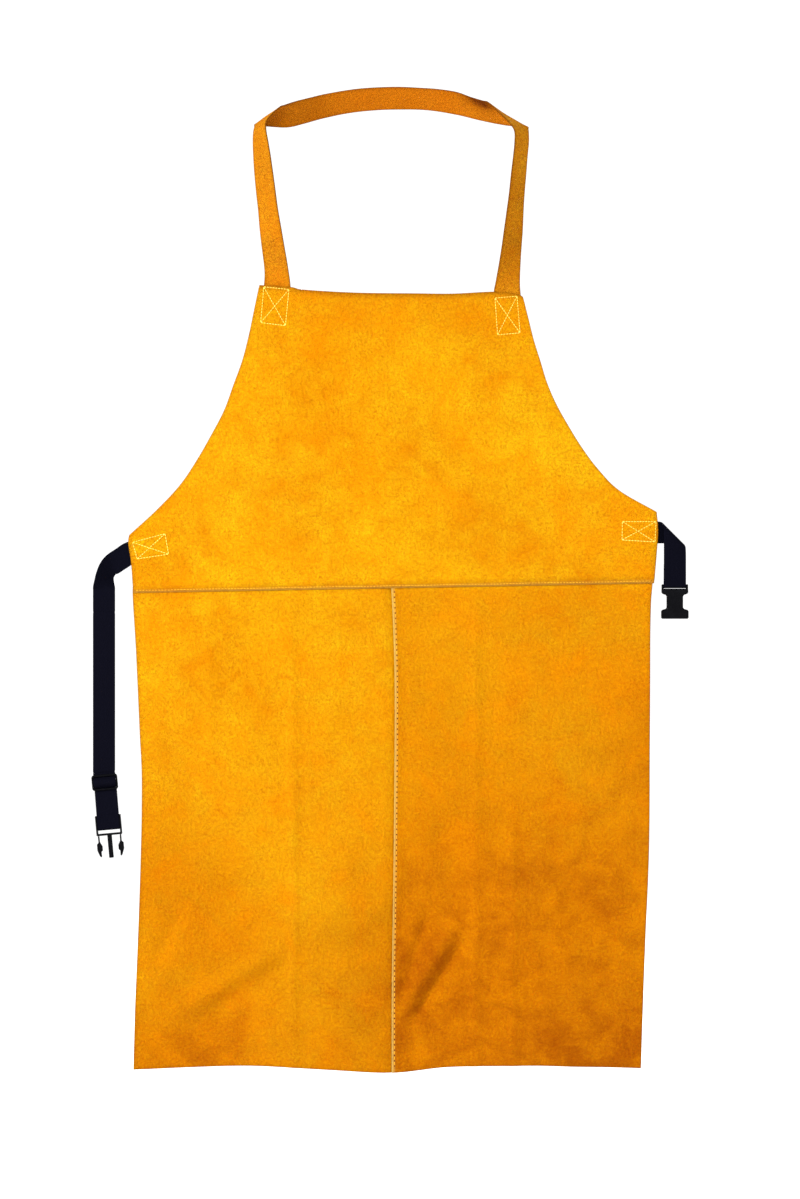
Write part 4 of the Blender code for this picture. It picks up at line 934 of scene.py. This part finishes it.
@dataclass
class Bib(Assembly):
    """The bib panel and everything sewn through it."""

    BOXES = {
        ("neck", Side.RIGHT): (
            (-0.1473, -0.2145), (-0.1186, -0.2174), (-0.1226, -0.2587), (-0.1508, -0.2552),
        ),
        ("neck", Side.LEFT): (
            (0.1164, -0.2273), (0.1415, -0.2251), (0.1449, -0.2669), (0.1193, -0.2692),
        ),
        ("waist", Side.RIGHT): (
            (-0.2970, -0.5058), (-0.2599, -0.4960), (-0.2559, -0.5193), (-0.2916, -0.5247),
        ),
        ("waist", Side.LEFT): (
            (0.2617, -0.4821), (0.3000, -0.4821), (0.2989, -0.5053), (0.2612, -0.5031),
        ),
    }

    def panel(self) -> bpy.types.Object:
        """The leather: each row runs straight from one edge to the other, below a sagging top edge."""
        rows = (78, 16)
        right, left = bib_edge(Side.RIGHT, rows), bib_edge(Side.LEFT, rows)
        v = even_line(0.45, 0.0040)
        flat = right[:, None, :] * (1 - v[None, :, None]) + left[:, None, :] * v[None, :, None]
        top_line = (TOP_CORNER[Side.RIGHT], *BIB_TOP, TOP_CORNER[Side.LEFT])
        top = curve_through([(*p, 0.0) for p in top_line], 200)
        sag = np.interp(flat[0, :, 0], top[:, 0], top[:, 1]) - flat[0, :, 1]
        fade = (1 - smoothstep(0.0, 0.35, np.linspace(0, 1, len(right))))[:, None]
        flat[..., 1] += sag[None, :] * fade
        x, z = flat[..., 0], flat[..., 1]
        middle = np.stack([x, BIB_Y + bib_back(x, z), z], axis=-1)
        normal = -grid_normals(middle)
        normal = normal * np.sign(-normal[..., 1:2])
        lay = np.stack([x, z, 0 * x], axis=-1)
        obj = thick_sheet("bib_leather", middle, normal, LEATHER, lay, self.finishes.leather)
        store_painted_shade(obj, 0.03)
        # Painted highlight: the bib's lower edge paler where it catches the light, in the cut edge's paler
        # colour.
        store_on_faces(obj, "Pale", 0.15 * smoothstep(0.0012, 0.0004, z - waist_z(x)))
        return self.keep(obj, Slot.LEATHER, ("bib_panel",))

    def box(self, kind: str, side: Side, face: str) -> bpy.types.Object:
        """One sewn box with a cross in it, on the leather's front or on the strap's back."""
        corners = [np.array(c) for c in self.BOXES[kind, side]]
        depth = LEATHER if kind == "neck" else WEBBING
        out = -1.0 if face == "front" else 1.0
        base = -LEATHER / 2 if face == "front" else LEATHER / 2 + PLY_GAP + depth
        sides = [(corners[i], corners[(i + 1) % 4]) for i in range(4)]
        runs = sides + [(corners[0], corners[2]), (corners[3], corners[1])]
        paths = []
        for start, end in runs:
            line = start + (end - start) * np.linspace(0, 1, 12)[:, None]
            y = BIB_Y + base + bib_back(line[:, 0], line[:, 1])
            paths.append((np.stack([line[:, 0], y, line[:, 1]], axis=1), None, (0.0, out, 0.0)))
        name = f"{kind}_box_{side.name.lower()}_{face}"
        obj = stitches(name, paths, self.finishes.thread, pitch=0.0033, gap=0.0004, radius=BOX_THREAD)
        return self.keep(obj, Slot.THREAD, (f"{kind}_stitch_{side.name.lower()}_{face}",))

    def seam(self, face: str) -> bpy.types.Object:
        """The row of stitches along the waist seam."""
        x = np.linspace(-0.2935, 0.2945, 120)
        z = waist_z(x) + 0.0027 + 0.0003 * lattice_noise(x, x * 0, 0.02, 31)
        lift = -LEATHER / 2 if face == "front" else 1.5 * LEATHER + PLY_GAP
        line = np.stack([x, BIB_Y + bib_back(x, z) + lift, z], axis=1)
        out = -1.0 if face == "front" else 1.0
        paths = [(line, None, (0.0, out, 0.0))]
        obj = stitches(f"waist_row_{face}", paths, self.finishes.seam_thread, 0.0036, 0.0006, SEAM_THREAD)
        return self.keep(obj, Slot.THREAD, (f"waist_seam_{face}",))

    def build(self) -> None:
        """Make the bib, its sewn boxes and its waist seam."""
        leather = self.panel()
        follow_waist(leather)
        for kind in ("neck", "waist"):
            for side in Side:
                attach(self.box(kind, side, "front"), "bib")
                back = self.box(kind, side, "back")
                if kind == "neck":
                    follow_neck(back)
                else:
                    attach(back, "bib")
        for face in ("front", "back"):
            follow_waist(self.seam(face))


def store_painted_shade(obj: bpy.types.Object, floor: float, extra: Array | None = None) -> None:
    """Give a leather piece its painted shade, from where each point lies, or the values given."""
    lay = np.zeros(len(obj.data.vertices) * 3, np.float32)
    obj.data.attributes["Lay"].data.foreach_get("vector", lay)
    lay = lay.reshape(-1, 3).astype(float)
    painted_shade = painted_shade_at(lay[:, 0], lay[:, 1]) + floor if extra is None else extra
    store(obj, "PaintedShade", np.clip(painted_shade, 0.0, 1.0))


def store_on_faces(obj: bpy.types.Object, name: str, values: Array) -> None:
    """Give both faces and the edge of a thick sheet a value for each point of its grid."""
    ring = rim_order(*values.shape)
    flat = values.ravel()
    store(obj, name, np.concatenate([flat, flat, flat[ring[:, 0] * values.shape[1] + ring[:, 1]]]))


def follow_neck(obj: bpy.types.Object) -> None:
    """Bake a piece's transform into its mesh; the neck hinge's up direction is found but not used."""
    place, axis = joint_place("bib_swing"), joint_axis("bib_swing")
    up = unit(np.cross(axis, np.array([0.0, 1.0, 0.0])))
    up = up if up[2] > 0 else -up
    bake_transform(obj)


@dataclass
class NeckStrap(Assembly):
    """The leather strap that goes round the neck, in one piece with its two sewn ends."""

    # (middle, from the middle to one edge in half widths), which slants where the strap folds over
    RIBS = (
        ((-0.1359, STRAP_Y, -0.2577), (1, 0, -0.09)),
        ((-0.1339, STRAP_Y, -0.2358), (1, 0, -0.09)),
        ((-0.1321, STRAP_Y, -0.2160), (1, 0, -0.05)),
        ((-0.1330, -0.0830, -0.1950), (0.91, -0.41, -0.04)),
        ((-0.1380, -0.0820, -0.1605), (0.85, -0.53, 0)),
        ((-0.1430, -0.0810, -0.1225), (0.76, -0.65, 0)),
        ((-0.1480, -0.0790, -0.0805), (0.70, -0.72, 0.03)),
        ((-0.1513, -0.0760, -0.0520), (0.60, -0.80, 0.09)),
        ((-0.1527, -0.0725, -0.0352), (0.51, -0.83, 0.10)),
        ((-0.1514, -0.0680, -0.0256), (0.52, -0.80, 0.17)),
        ((-0.1446, -0.0590, -0.0161), (0.92, -0.33, 0.60)),
        ((-0.1344, -0.0505, -0.0142), (0.72, -0.43, 0.76)),
        ((-0.1166, -0.0395, -0.0111), (0.40, -0.37, 0.96)),
        ((-0.1007, -0.0292, -0.0061), (0.24, -0.45, 0.93)),
        ((-0.0770, -0.0185, 0.0015), (0.12, -0.50, 0.86)),
        ((-0.0415, -0.0120, 0.0085), (0.05, -0.60, 0.80)),
        ((0.0, -0.0095, 0.0115), (0, -0.63, 0.77)),
        ((0.0400, -0.0115, 0.0100), (-0.04, -0.67, 0.74)),
        ((0.0725, -0.0170, 0.0045), (-0.12, -0.60, 0.80)),
        ((0.0953, -0.0288, -0.0035), (-0.43, -0.42, 0.84)),
        ((0.1143, -0.0400, -0.0094), (-0.87, -0.40, 0.87)),
        ((0.1271, -0.0490, -0.0128), (-1.19, -0.07, 0.90)),
        ((0.1386, -0.0612, -0.0208), (-1.07, -0.45, 0.47)),
        ((0.1436, -0.0673, -0.0279), (-0.78, -0.72, 0.21)),
        ((0.1470, -0.0708, -0.0361), (-0.57, -0.82, 0.06)),
        ((0.1472, -0.0730, -0.0480), (-0.55, -0.83, -0.05)),
        ((0.1452, -0.0765, -0.0680), (-0.55, -0.83, -0.08)),
        ((0.1410, -0.0795, -0.1110), (-0.59, -0.80, -0.08)),
        ((0.1375, -0.0810, -0.1490), (-0.70, -0.71, -0.07)),
        ((0.1335, -0.0825, -0.1855), (-0.81, -0.58, -0.06)),
        ((0.1310, -0.0830, -0.2090), (-0.92, -0.38, -0.02)),
        ((0.1303, STRAP_Y, -0.2222), (-1, 0, 0.03)),
        ((0.1319, STRAP_Y, -0.2440), (-1, 0, 0.077)),
        ((0.1339, STRAP_Y, -0.2690), (-1, 0, 0.077)),
    )

    def build(self) -> None:
        """Make the strap between its two edges."""
        path = curve_through([(*middle, *way) for middle, way in self.RIBS], 380)
        v = 2.0 * even_line(STRAP_WIDTH, 0.0027) - 1.0
        half = STRAP_WIDTH / 2
        grid = path[:, None, :3] + half * path[:, None, 3:] * v[None, :, None]
        normal = grid_normals(grid)
        normal = normal * -np.sign(normal[5, 5, 1])
        along = np.concatenate([[0.0], np.cumsum(np.linalg.norm(np.diff(path[:, :3], axis=0), axis=1))])
        lay = np.zeros(grid.shape)
        lay[..., 0], lay[..., 1] = half * v[None, :], along[:, None]
        s = lay[..., 1] / along[-1]
        x, z = grid[..., 0], grid[..., 2]
        ripple = 0.0005 * lattice_noise(lay[..., 0] * 2.0, lay[..., 1], 0.022, 41) * smoothstep(0.08, 0.14, s)
        grid = grid + normal * (ripple * (1 - smoothstep(0.86, 0.92, s)))[..., None]
        obj = thick_sheet("neck_strap_leather", grid, normal, LEATHER, lay, self.finishes.strap)
        # Painted shade on the strap, over random mottling: the outer face darker down the legs and on both
        # legs, the inner face darker in the loop's corners.
        mottle = 0.10 * lattice_noise(lay[..., 0], lay[..., 1], 0.03, 45)
        outer = mottle + 0.10 * smoothstep(-0.06, -0.20, z) + 0.10 * smoothstep(-0.11, -0.13, x)
        outer = outer + 0.07 * smoothstep(0.11, 0.13, x)
        edge_share = np.broadcast_to(v[None, :], x.shape)
        right = smoothstep(0.112, 0.146, -x) * 0.70
        left = smoothstep(0.040, 0.105, x) * smoothstep(-0.5, 0.9, edge_share) * 0.85
        inner = mottle + right + left + 0.05
        ring = rim_order(*x.shape)
        rim = outer.ravel()[ring[:, 0] * x.shape[1] + ring[:, 1]]
        store_painted_shade(obj, 0.0, np.concatenate([outer.ravel(), inner.ravel(), rim]))
        self.keep(obj, Slot.STRAP, ("neck_strap", "neck_strap_end_right", "neck_strap_end_left"))
        follow_neck(obj)


@dataclass
class Skirt(Assembly):
    """The two lower panels, the one at the wearer's left lapped over the other."""

    def panel(self, side: Side) -> bpy.types.Object:
        """One panel: rows from the lap behind the bib to the hem, columns from seam to side edge."""
        over = side is Side.LEFT
        t = np.concatenate([np.linspace(-0.022, 0.0, 5)[:-1], even_line(0.55, 0.0042)])
        s = even_line(0.295, 0.0036)
        depth = SKIRT_HEIGHT
        probe = WAIST_Z - depth * t
        outer = read_off(SKIRT_FLANK[side], probe, 1)
        inner = read_off(SEAM_EDGE, probe, 1) + (0.0 if over else 0.0110)
        x = inner[:, None] + (outer - inner)[:, None] * s[None, :]
        top = waist_z(x)
        hem = read_off(HEM, x, 0)
        share = np.broadcast_to(t[:, None], x.shape)
        z = np.where(share > 0, top + (hem - top) * share, top - share * depth)
        lap = 0.0 if over else (LEATHER + PLY_GAP)
        seam_x = read_off(SEAM_EDGE, z, 1)
        behind = lap * smoothstep(-0.010, -0.0015, x - seam_x)
        nudge = 0.0 if not over else 0.0006 * smoothstep(0.012, 0.0, x - seam_x)
        y = SKIRT_Y + behind - nudge + skirt_back(x, z)
        middle = np.stack([x, y, z], axis=-1)
        normal = grid_normals(middle)
        normal = normal * -np.sign(normal[..., 1:2])
        lay = np.stack([x, z, 0 * x], axis=-1)
        name = f"skirt_leather_{side.name.lower()}"
        obj = thick_sheet(name, middle, normal, LEATHER, lay, self.finishes.leather)
        store_painted_shade(obj, 0.05)
        pale = np.where(over, smoothstep(0.0011, 0.0005, x - seam_x), 0.0 * x) * 0.6
        store_on_faces(obj, "Pale", pale)
        return self.keep(obj, Slot.LEATHER, (f"skirt_panel_{side.name.lower()}",))

    def seam(self, face: str) -> bpy.types.Object:
        """The stitches down the centre seam, just inside the upper ply's edge."""
        z = np.linspace(float(waist_z(np.array(0.0))) - 0.0045, -1.1035, 260)
        x = read_off(SEAM_EDGE, z, 1) + 0.0028
        lift = -LEATHER / 2 - 0.0004 if face == "front" else 1.5 * LEATHER + PLY_GAP
        line = np.stack([x, SKIRT_Y + skirt_back(x, z) + lift, z], axis=1)
        out = -1.0 if face == "front" else 1.0
        finish = self.finishes.seam_thread
        obj = stitches(f"centre_row_{face}", [(line, None, (0.0, out, 0.0))], finish, 0.0060, 0.0018, 0.00042)
        return self.keep(obj, Slot.THREAD, (f"centre_seam_{face}",))

    def needle_holes(self) -> bpy.types.Object:
        """The needle holes between the centre seam's stitches, dark with painted shadow."""
        z = np.linspace(float(waist_z(np.array(0.0))) - 0.0045, -1.1035, 260)
        x = read_off(SEAM_EDGE, z, 1) + 0.0028
        line = np.stack([x, SKIRT_Y + skirt_back(x, z) - LEATHER / 2 - 0.0005, z], axis=1)
        length = np.concatenate([[0.0], np.cumsum(np.linalg.norm(np.diff(line, axis=0), axis=1))])
        at = np.linspace(0, length[-1], round(length[-1] / 0.0060) + 1)
        places = np.stack([np.interp(at, length, line[:, k]) for k in range(3)], axis=1)
        normals = np.broadcast_to([0.0, -1.0, 0.0], places.shape)
        obj = dots("centre_holes", places, normals, 0.00085, self.finishes.hole)
        return self.keep(obj, Slot.LEATHER, ())

    def build(self) -> None:
        """Make the skirt: both panels, the centre seam and its needle holes."""
        for side in Side:
            obj = self.panel(side)
            follow_waist(obj)
        for face in ("front", "back"):
            follow_waist(self.seam(face))
        follow_waist(self.needle_holes())


# ---------------------------------------------------------------- webbing


BAR = 0.0013
MALE_BAR = 0.0015
FIT = 0.0003
COCK = math.radians(5.2)
PIVOT = 0.0390
BAR_U = 0.0077


def ply(count: int, radius: float) -> float:
    """From a bar's middle to the middle of the webbing with count more plies beneath it."""
    return radius + (count + 1) * FIT + (count + 0.5) * WEBBING


def belt(wheels: list, step: float = 0.0011) -> Array:
    """Side view (u, y) of a belt over wheels (u, y, radius, side).

    Between two wheels the belt runs straight, touching both. Its direction differs from the line
    between their middles by the angle whose sine is the difference of the signed radii over the
    distance. On a wheel it follows the rim.

    Args:
        wheels: the first and last have radius 0 and are end points. side is +1 where the belt
            passes at +y.
        step: distance between points.

    Returns:
        The (u, y) points.
    """
    spans = []
    for (u0, y0, r0, k0), (u1, y1, r1, k1) in zip(wheels, wheels[1:]):
        du, dy = u1 - u0, y1 - y0
        lift = math.asin((k0 * r0 - k1 * r1) / math.hypot(du, dy))
        square = math.atan2(dy, du) + math.pi / 2 - lift
        away = np.array([math.cos(square), math.sin(square)])
        spans.append((np.array([u0, y0]) + k0 * r0 * away, np.array([u1, y1]) + k1 * r1 * away))
    parts = []
    for index, (start, end) in enumerate(spans):
        count = max(2, round(float(np.linalg.norm(end - start)) / step))
        parts.append(start + (end - start) * np.linspace(0, 1, count, endpoint=False)[:, None])
        if index + 1 < len(spans):
            u, y, radius, side = wheels[index + 1]
            leave = spans[index + 1][0]
            first = math.atan2(end[1] - y, end[0] - u)
            last = math.atan2(leave[1] - y, leave[0] - u)
            sweep = (first - last) * side % (2 * math.pi)
            count = max(2, round(sweep * radius / step * 2))
            angle = first - side * sweep * np.linspace(0, 1, count, endpoint=False)
            parts.append(np.stack([u + radius * np.cos(angle), y + radius * np.sin(angle)], axis=1))
    return np.vstack([*parts, spans[-1][1]])


def ribs_to_grid(a: Array, b: Array, normal: Array, start: float = 0.0) -> tuple[Array, Array, Array]:
    """Grid, normals and lay of webbing from its two edges."""
    v = even_line(WEBBING_WIDTH, 0.0022, 0.0005)
    grid = a[:, None, :] * (1 - v[None, :, None]) + b[:, None, :] * v[None, :, None]
    middle = (a + b) / 2
    length = start + np.concatenate([[0.0], np.cumsum(np.linalg.norm(np.diff(middle, axis=0), axis=1))])
    lay = np.zeros(grid.shape)
    lay[..., 0] = (v - 0.5)[None, :] * WEBBING_WIDTH
    lay[..., 1] = length[:, None]
    return grid, np.broadcast_to(unit(normal)[:, None, :], grid.shape), lay


def placed(path: Array, frame_matrix: Array) -> tuple[Array, Array, Array]:
    """Edges and normals of webbing along a (u, y) path, in a buckle's frame."""
    half = WEBBING_WIDTH / 2
    run = np.gradient(path, axis=0)
    zero = np.zeros(len(path))
    normal = unit(np.stack([zero, -run[:, 0], -run[:, 1]], axis=1))
    a = np.stack([zero - half, path[:, 1], -path[:, 0]], axis=1)
    b = a + np.array([2 * half, 0.0, 0.0])
    turn, shift = frame_matrix[:3, :3], frame_matrix[:3, 3]
    return a @ turn.T + shift, b @ turn.T + shift, normal @ turn.T


def matrix_at(place: tuple, lean: float) -> Array:
    """A frame at a place, leaning about Y."""
    return np.array(Matrix.Translation(Vector(place)) @ Matrix.Rotation(-lean, 4, "Y"))


@dataclass
class Webbings(Assembly):
    """The black webbing at both sides; two of its pieces are parented to the strap bodies."""

    EXIT = (-0.3000, TAIL_Y, -0.5177)
    SWING = (-0.3295, -0.0858, -0.5660)
    TURN = (
        ((-0.0085, -0.0003, -0.0055), (0.33, 0, -0.94)),
        ((-0.0175, -0.0010, -0.0115), (0.54, 0.12, -0.84)),
        ((-0.0245, -0.0018, -0.0175), (0.66, 0.52, -0.50)),
        ((-0.0285, -0.0022, -0.0260), (0.74, 0.62, -0.22)),
        ((-0.0295, -0.0023, -0.0350), (0.88, 0.44, -0.06)),
        ((-0.0295, -0.0024, -0.0423), (1, 0, 0)),
    )
    SPLIT = -0.5850

    def strip(self, name: str, a: Array, b: Array, normal: Array, nodes: tuple, start: float = 0.0):
        """One piece of webbing from its two edges."""
        grid, normals, lay = ribs_to_grid(a, b, normal, start)
        obj = thick_sheet(name, grid, normals, WEBBING, lay, self.finishes.webbing, bulge=0.35)
        self.keep(obj, Slot.WEBBING, nodes)
        float(np.ptp(lay[..., 1]))
        return obj

    def right(self) -> None:
        """The long webbing: tail, hanging run, the weave through the adjuster, and the bight."""
        drop = math.radians(14.8)
        run = np.array([-math.cos(drop), 0.0, -math.sin(drop)])
        across = np.array([math.sin(drop), 0.0, -math.cos(drop)])
        leave, hang = np.array(self.EXIT), np.array(self.SWING)
        rows = [(*(leave - run * back), *across) for back in (SEWN_TAIL, 0.030, 0.015, 0.0)]
        rows += [(*(leave + np.array(step)), *unit(np.array(way, float))) for step, way in self.TURN]
        rows += [(hang[0], hang[1], z, 1, 0, 0) for z in (-0.5660, -0.5755, self.SPLIT)]
        path = curve_through(rows, 110)
        ahead = unit(np.gradient(path[:, :3], axis=0))
        way = unit(path[:, 3:] - np.einsum("ij,ij->i", path[:, 3:], ahead)[:, None] * ahead)
        half = way * WEBBING_WIDTH / 2
        middle, normal = path[:, :3], np.cross(ahead, way)
        obj = self.strip("webbing_turn_right", middle - half, middle + half, normal, ("webbing_tail_right",))
        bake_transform(obj)

        frame_matrix = matrix_at(ADJUSTER_PLACE, COCK)
        knee = frame_matrix @ np.array([0.0, ply(0, BAR), 0.0110, 1.0])
        z = np.linspace(self.SPLIT, knee[2], 70)
        x = np.interp(z, [knee[2], self.SPLIT], [knee[0], hang[0]])
        middle = np.stack([x, 0 * z + hang[1], z], axis=1)
        half = np.array([WEBBING_WIDTH / 2, 0.0, 0.0])
        tilt = np.linspace(0, 1, 70)[:, None] ** 12 * np.array([0.0, 0.0, math.sin(COCK) * WEBBING_WIDTH / 2])
        normal = np.tile([0.0, -1.0, 0.0], (len(z), 1))
        near, far = middle - half - tilt, middle + half + tilt
        obj = self.strip("webbing_hang_right", near, far, normal, ("webbing_run_right",), 0.13)
        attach(obj, "right_strap")
        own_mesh(obj)

        first = ply(0, BAR)
        low = PIVOT - 0.0018
        weave = belt([
            (-0.0110, first, 0.0, 1), (-BAR_U, 0.0, first, 1), (0.0, 0.0, ply(1, BAR), -1),
            (BAR_U, 0.0, first, 1), (low, -ply(0, MALE_BAR), 0.0, 1),
        ])
        obj = self.strip("webbing_weave_right", *placed(weave, frame_matrix), ("webbing_run_right",), 0.33)
        follow_adjuster(obj)
        bar_y, low_y = ply(2, BAR), ply(0, MALE_BAR)
        end_u = 0.018
        end_y = low_y + (bar_y - low_y) * (low - end_u) / (low - BAR_U) - WEBBING - FIT
        back = belt([
            (low, low_y, 0.0, 1), (BAR_U, 0.0, bar_y, -1), (0.0, 0.0, first, -1),
            (BAR_U, 0.0, ply(1, BAR), 1), (end_u, end_y, 0.0, 1),
        ])
        sides = placed(back, frame_matrix)
        obj = self.strip("webbing_return_right_strip", *sides, ("webbing_return_right",), 0.43)
        follow_adjuster(obj)

        out = ply(0, MALE_BAR)
        male = matrix_at(MALE_PLACE, COCK)
        bight = belt([(-0.0018, -out, 0.0, 1), (0.0125, 0.0, out, -1), (-0.0018, out, 0.0, 1)])
        obj = self.strip("webbing_bight_right", *placed(bight, male), ("webbing_buckle_loop",), 0.40)
        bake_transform(obj)

        def depth(u: float) -> float:
            """The returning ply's back face."""
            return low_y + (bar_y - low_y) * (low - u) / (low - BAR_U) + WEBBING / 2

        rows = self.loop_rows((end_u - 0.0022, end_u - 0.0082), depth, frame_matrix)
        obj = stitches("adjuster_loop_rows", rows, self.finishes.dark_thread, 0.0028, 0.0005, LOOP_THREAD)
        self.keep(obj, Slot.THREAD, ("adjuster_loop_stitch",))
        follow_adjuster(obj)

    def loop_rows(self, rows_u: tuple, depth, frame_matrix: Array) -> list:
        """The sewn rectangle behind a loop of webbing, as runs for stitches()."""
        x = WEBBING_WIDTH / 2 - 0.0024
        corners = [(-x, rows_u[0]), (x, rows_u[0]), (x, rows_u[1]), (-x, rows_u[1])]
        points = [(frame_matrix @ np.array([cx, depth(u), -u, 1.0]))[:3] for cx, u in corners]
        normal = frame_matrix[:3, :3] @ np.array([0.0, 1.0, 0.0])
        return [(points[i], points[(i + 1) % 4], normal) for i in range(4)]

    def left(self) -> None:
        """The short webbing: a loose diagonal fold at the leather's edge, then the buckle's loop."""
        w, r = WEBBING_WIDTH, SIDE_FOLD_RADIUS
        exit_z = -0.4944
        top_z = exit_z + w / 2
        swing = np.array([0.3210, -0.0924, -0.5200])
        mirror_s = swing[0] - w / 2
        tangent_s = mirror_s - math.pi * r / 2 * math.sqrt(2)
        diagonal = unit(np.array([1.0, 0.0, 1.0]))
        last = mirror_s + math.pi * r / 2 * math.sqrt(2)
        sewn = np.linspace(SIDE_EDGE - SEWN_TAIL, tangent_s, 24)[:-1]
        s_edge = np.concatenate([sewn, np.linspace(tangent_s, last, 22)[:-1]])
        length = top_z - swing[2]
        end_s = mirror_s + length
        s_top = np.concatenate([s_edge, last + (end_s - last) * np.linspace(0, 1, 8)])
        lean = smoothstep(tangent_s - 0.016, tangent_s, s_top)
        hanging = np.clip((s_top - last) / (end_s - last), 0.0, 1.0)
        s_low = np.where(s_top > last, last + w + (end_s - last - w) * hanging, s_top + w * lean)
        edges = []
        for s, v in ((s_top, 0.0), (s_low, w)):
            past = (s - tangent_s - v) / math.sqrt(2)
            flat = np.stack([s, 0 * s + TAIL_Y, 0 * s + top_z - v], axis=1) - diagonal * past[:, None]
            wrapped = np.clip(past, 0.0, math.pi * r)
            angle = wrapped / r
            bent = flat + diagonal * (r * np.sin(angle) - np.maximum(past - wrapped, 0.0))[:, None]
            bent[:, 1] -= r * (1 - np.cos(angle))
            edges.append(np.where((past > 0)[:, None], bent, flat + diagonal * past[:, None]))
        turn = np.clip((s_top - tangent_s) / math.sqrt(2) / r, 0.0, math.pi)
        normal = np.stack([-np.sin(turn) / math.sqrt(2), -np.cos(turn), -np.sin(turn) / math.sqrt(2)], axis=1)
        out = ply(0, MALE_BAR)
        top_u = -0.0352
        path = belt([
            (top_u, -out, 0.0, 1), (0.0, 0.0, out, -1), (top_u + 0.0100, -out + WEBBING + FIT, 0.0, 1),
        ])
        female = matrix_at(FEMALE_PLACE, 0.0)
        a, b, loop_normal = placed(path, female)
        a, b = np.vstack([edges[0], a[1:]]), np.vstack([edges[1], b[1:]])
        normal = np.vstack([normal, -loop_normal[1:]])
        obj = self.strip("webbing_left_strip", a, b, normal, ("webbing_tail_left", "webbing_run_left"))
        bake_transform(obj)

        low_u = top_u + 0.0100
        end_y = -out + WEBBING + FIT

        def depth(u: float) -> float:
            """The returning ply's back face."""
            return end_y + (out - end_y) * (u - low_u) / -low_u + WEBBING / 2

        rows = self.loop_rows((low_u + 0.0082, low_u + 0.0022), depth, female)
        obj = stitches("buckle_loop_rows", rows, self.finishes.dark_thread, 0.0028, 0.0005, LOOP_THREAD)
        self.keep(obj, Slot.THREAD, ("buckle_loop_stitch",))
        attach(obj, "left_strap")

    def build(self) -> None:
        """Make the webbing at both sides."""
        self.right()
        self.left()


def follow_adjuster(obj: bpy.types.Object) -> None:
    """Bake a piece's transform into its mesh."""
    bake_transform(obj)


@dataclass
class Buckles(Assembly):
    """The moulded parts: the solids themselves, with a finish."""

    def build(self) -> None:
        """Dress each moulded solid."""
        for name in ("strap_adjuster", "male_buckle", "prong_right", "prong_left", "female_buckle"):
            node = frame["nodes"][name]
            node.data.materials.clear()
            node.data.materials.append(self.finishes.plastic)
            for polygon in node.data.polygons:
                polygon.material_index = 0
            LOG.info("%s: dressed", name)


# ---------------------------------------------------------------- studio


def area_light(name: str, place: tuple, aim: tuple, size: float, power: float) -> None:
    """A square soft light that looks at a point."""
    data = bpy.data.lights.new(name, "AREA")
    data.shape = "SQUARE"
    data.size = size
    data.energy = power
    obj = bpy.data.objects.new(name, data)
    obj.location = place
    obj.rotation_euler = (Vector(aim) - Vector(place)).to_track_quat("-Z", "Y").to_euler()
    bpy.context.scene.collection.objects.link(obj)


def build_studio() -> None:
    """Pale floor, white surround, soft lights and the camera, four metres in front of the bib."""
    scene = bpy.context.scene
    world = bpy.data.worlds.new("white_surround")
    world.use_nodes = True
    world.node_tree.nodes["Background"].inputs["Color"].default_value = (1.0, 1.0, 1.0, 1.0)
    world.node_tree.nodes["Background"].inputs["Strength"].default_value = 1.12
    scene.world = world
    floor_points = np.array([[-9, -9, -1.25], [9, -9, -1.25], [9, 9, -1.25], [-9, 9, -1.25]], float)
    floor_finish = Plain("pale_floor", (0.95, 0.95, 0.95, 1.0), (0.93, 0.93, 0.93, 1.0), 2.0).build()
    floor = link_mesh("studio_floor", floor_points, [[0, 1, 2, 3]], floor_finish)
    area_light("key", (-2.5, -2.3, 0.7), (0.0, 0.0, -0.55), 1.1, 232.0)
    area_light("fill", (2.1, -3.0, 0.3), (0.0, 0.0, -0.60), 1.8, 84.0)
    area_light("back", (0.6, 2.8, 1.2), (0.0, 0.0, -0.50), 1.6, 40.0)
    camera = bpy.data.cameras.new("camera")
    camera.lens = 105.3
    camera.sensor_width = 36.0
    camera.clip_end = 60.0
    camera_object = bpy.data.objects.new("camera", camera)
    camera_object.location = (0.008, -4.085, -0.571)
    camera_object.rotation_euler = (math.radians(90.0), 0.0, 0.0)
    scene.collection.objects.link(camera_object)
    scene.camera = camera_object
    scene.view_settings.view_transform = "Standard"


def main() -> None:
    """Build the apron's looks, then the studio."""
    logging.basicConfig(level=logging.INFO, format="%(name)s: %(message)s")
    finishes = make_finishes()
    for kind in (NeckStrap, Bib, Skirt, Webbings, Buckles):
        assembly = kind(finishes)
        assembly.build()
        LOG.info("%s: %d new pieces", kind.__name__, len(assembly.made))
    build_studio()


if __name__ == "__main__":
    main()
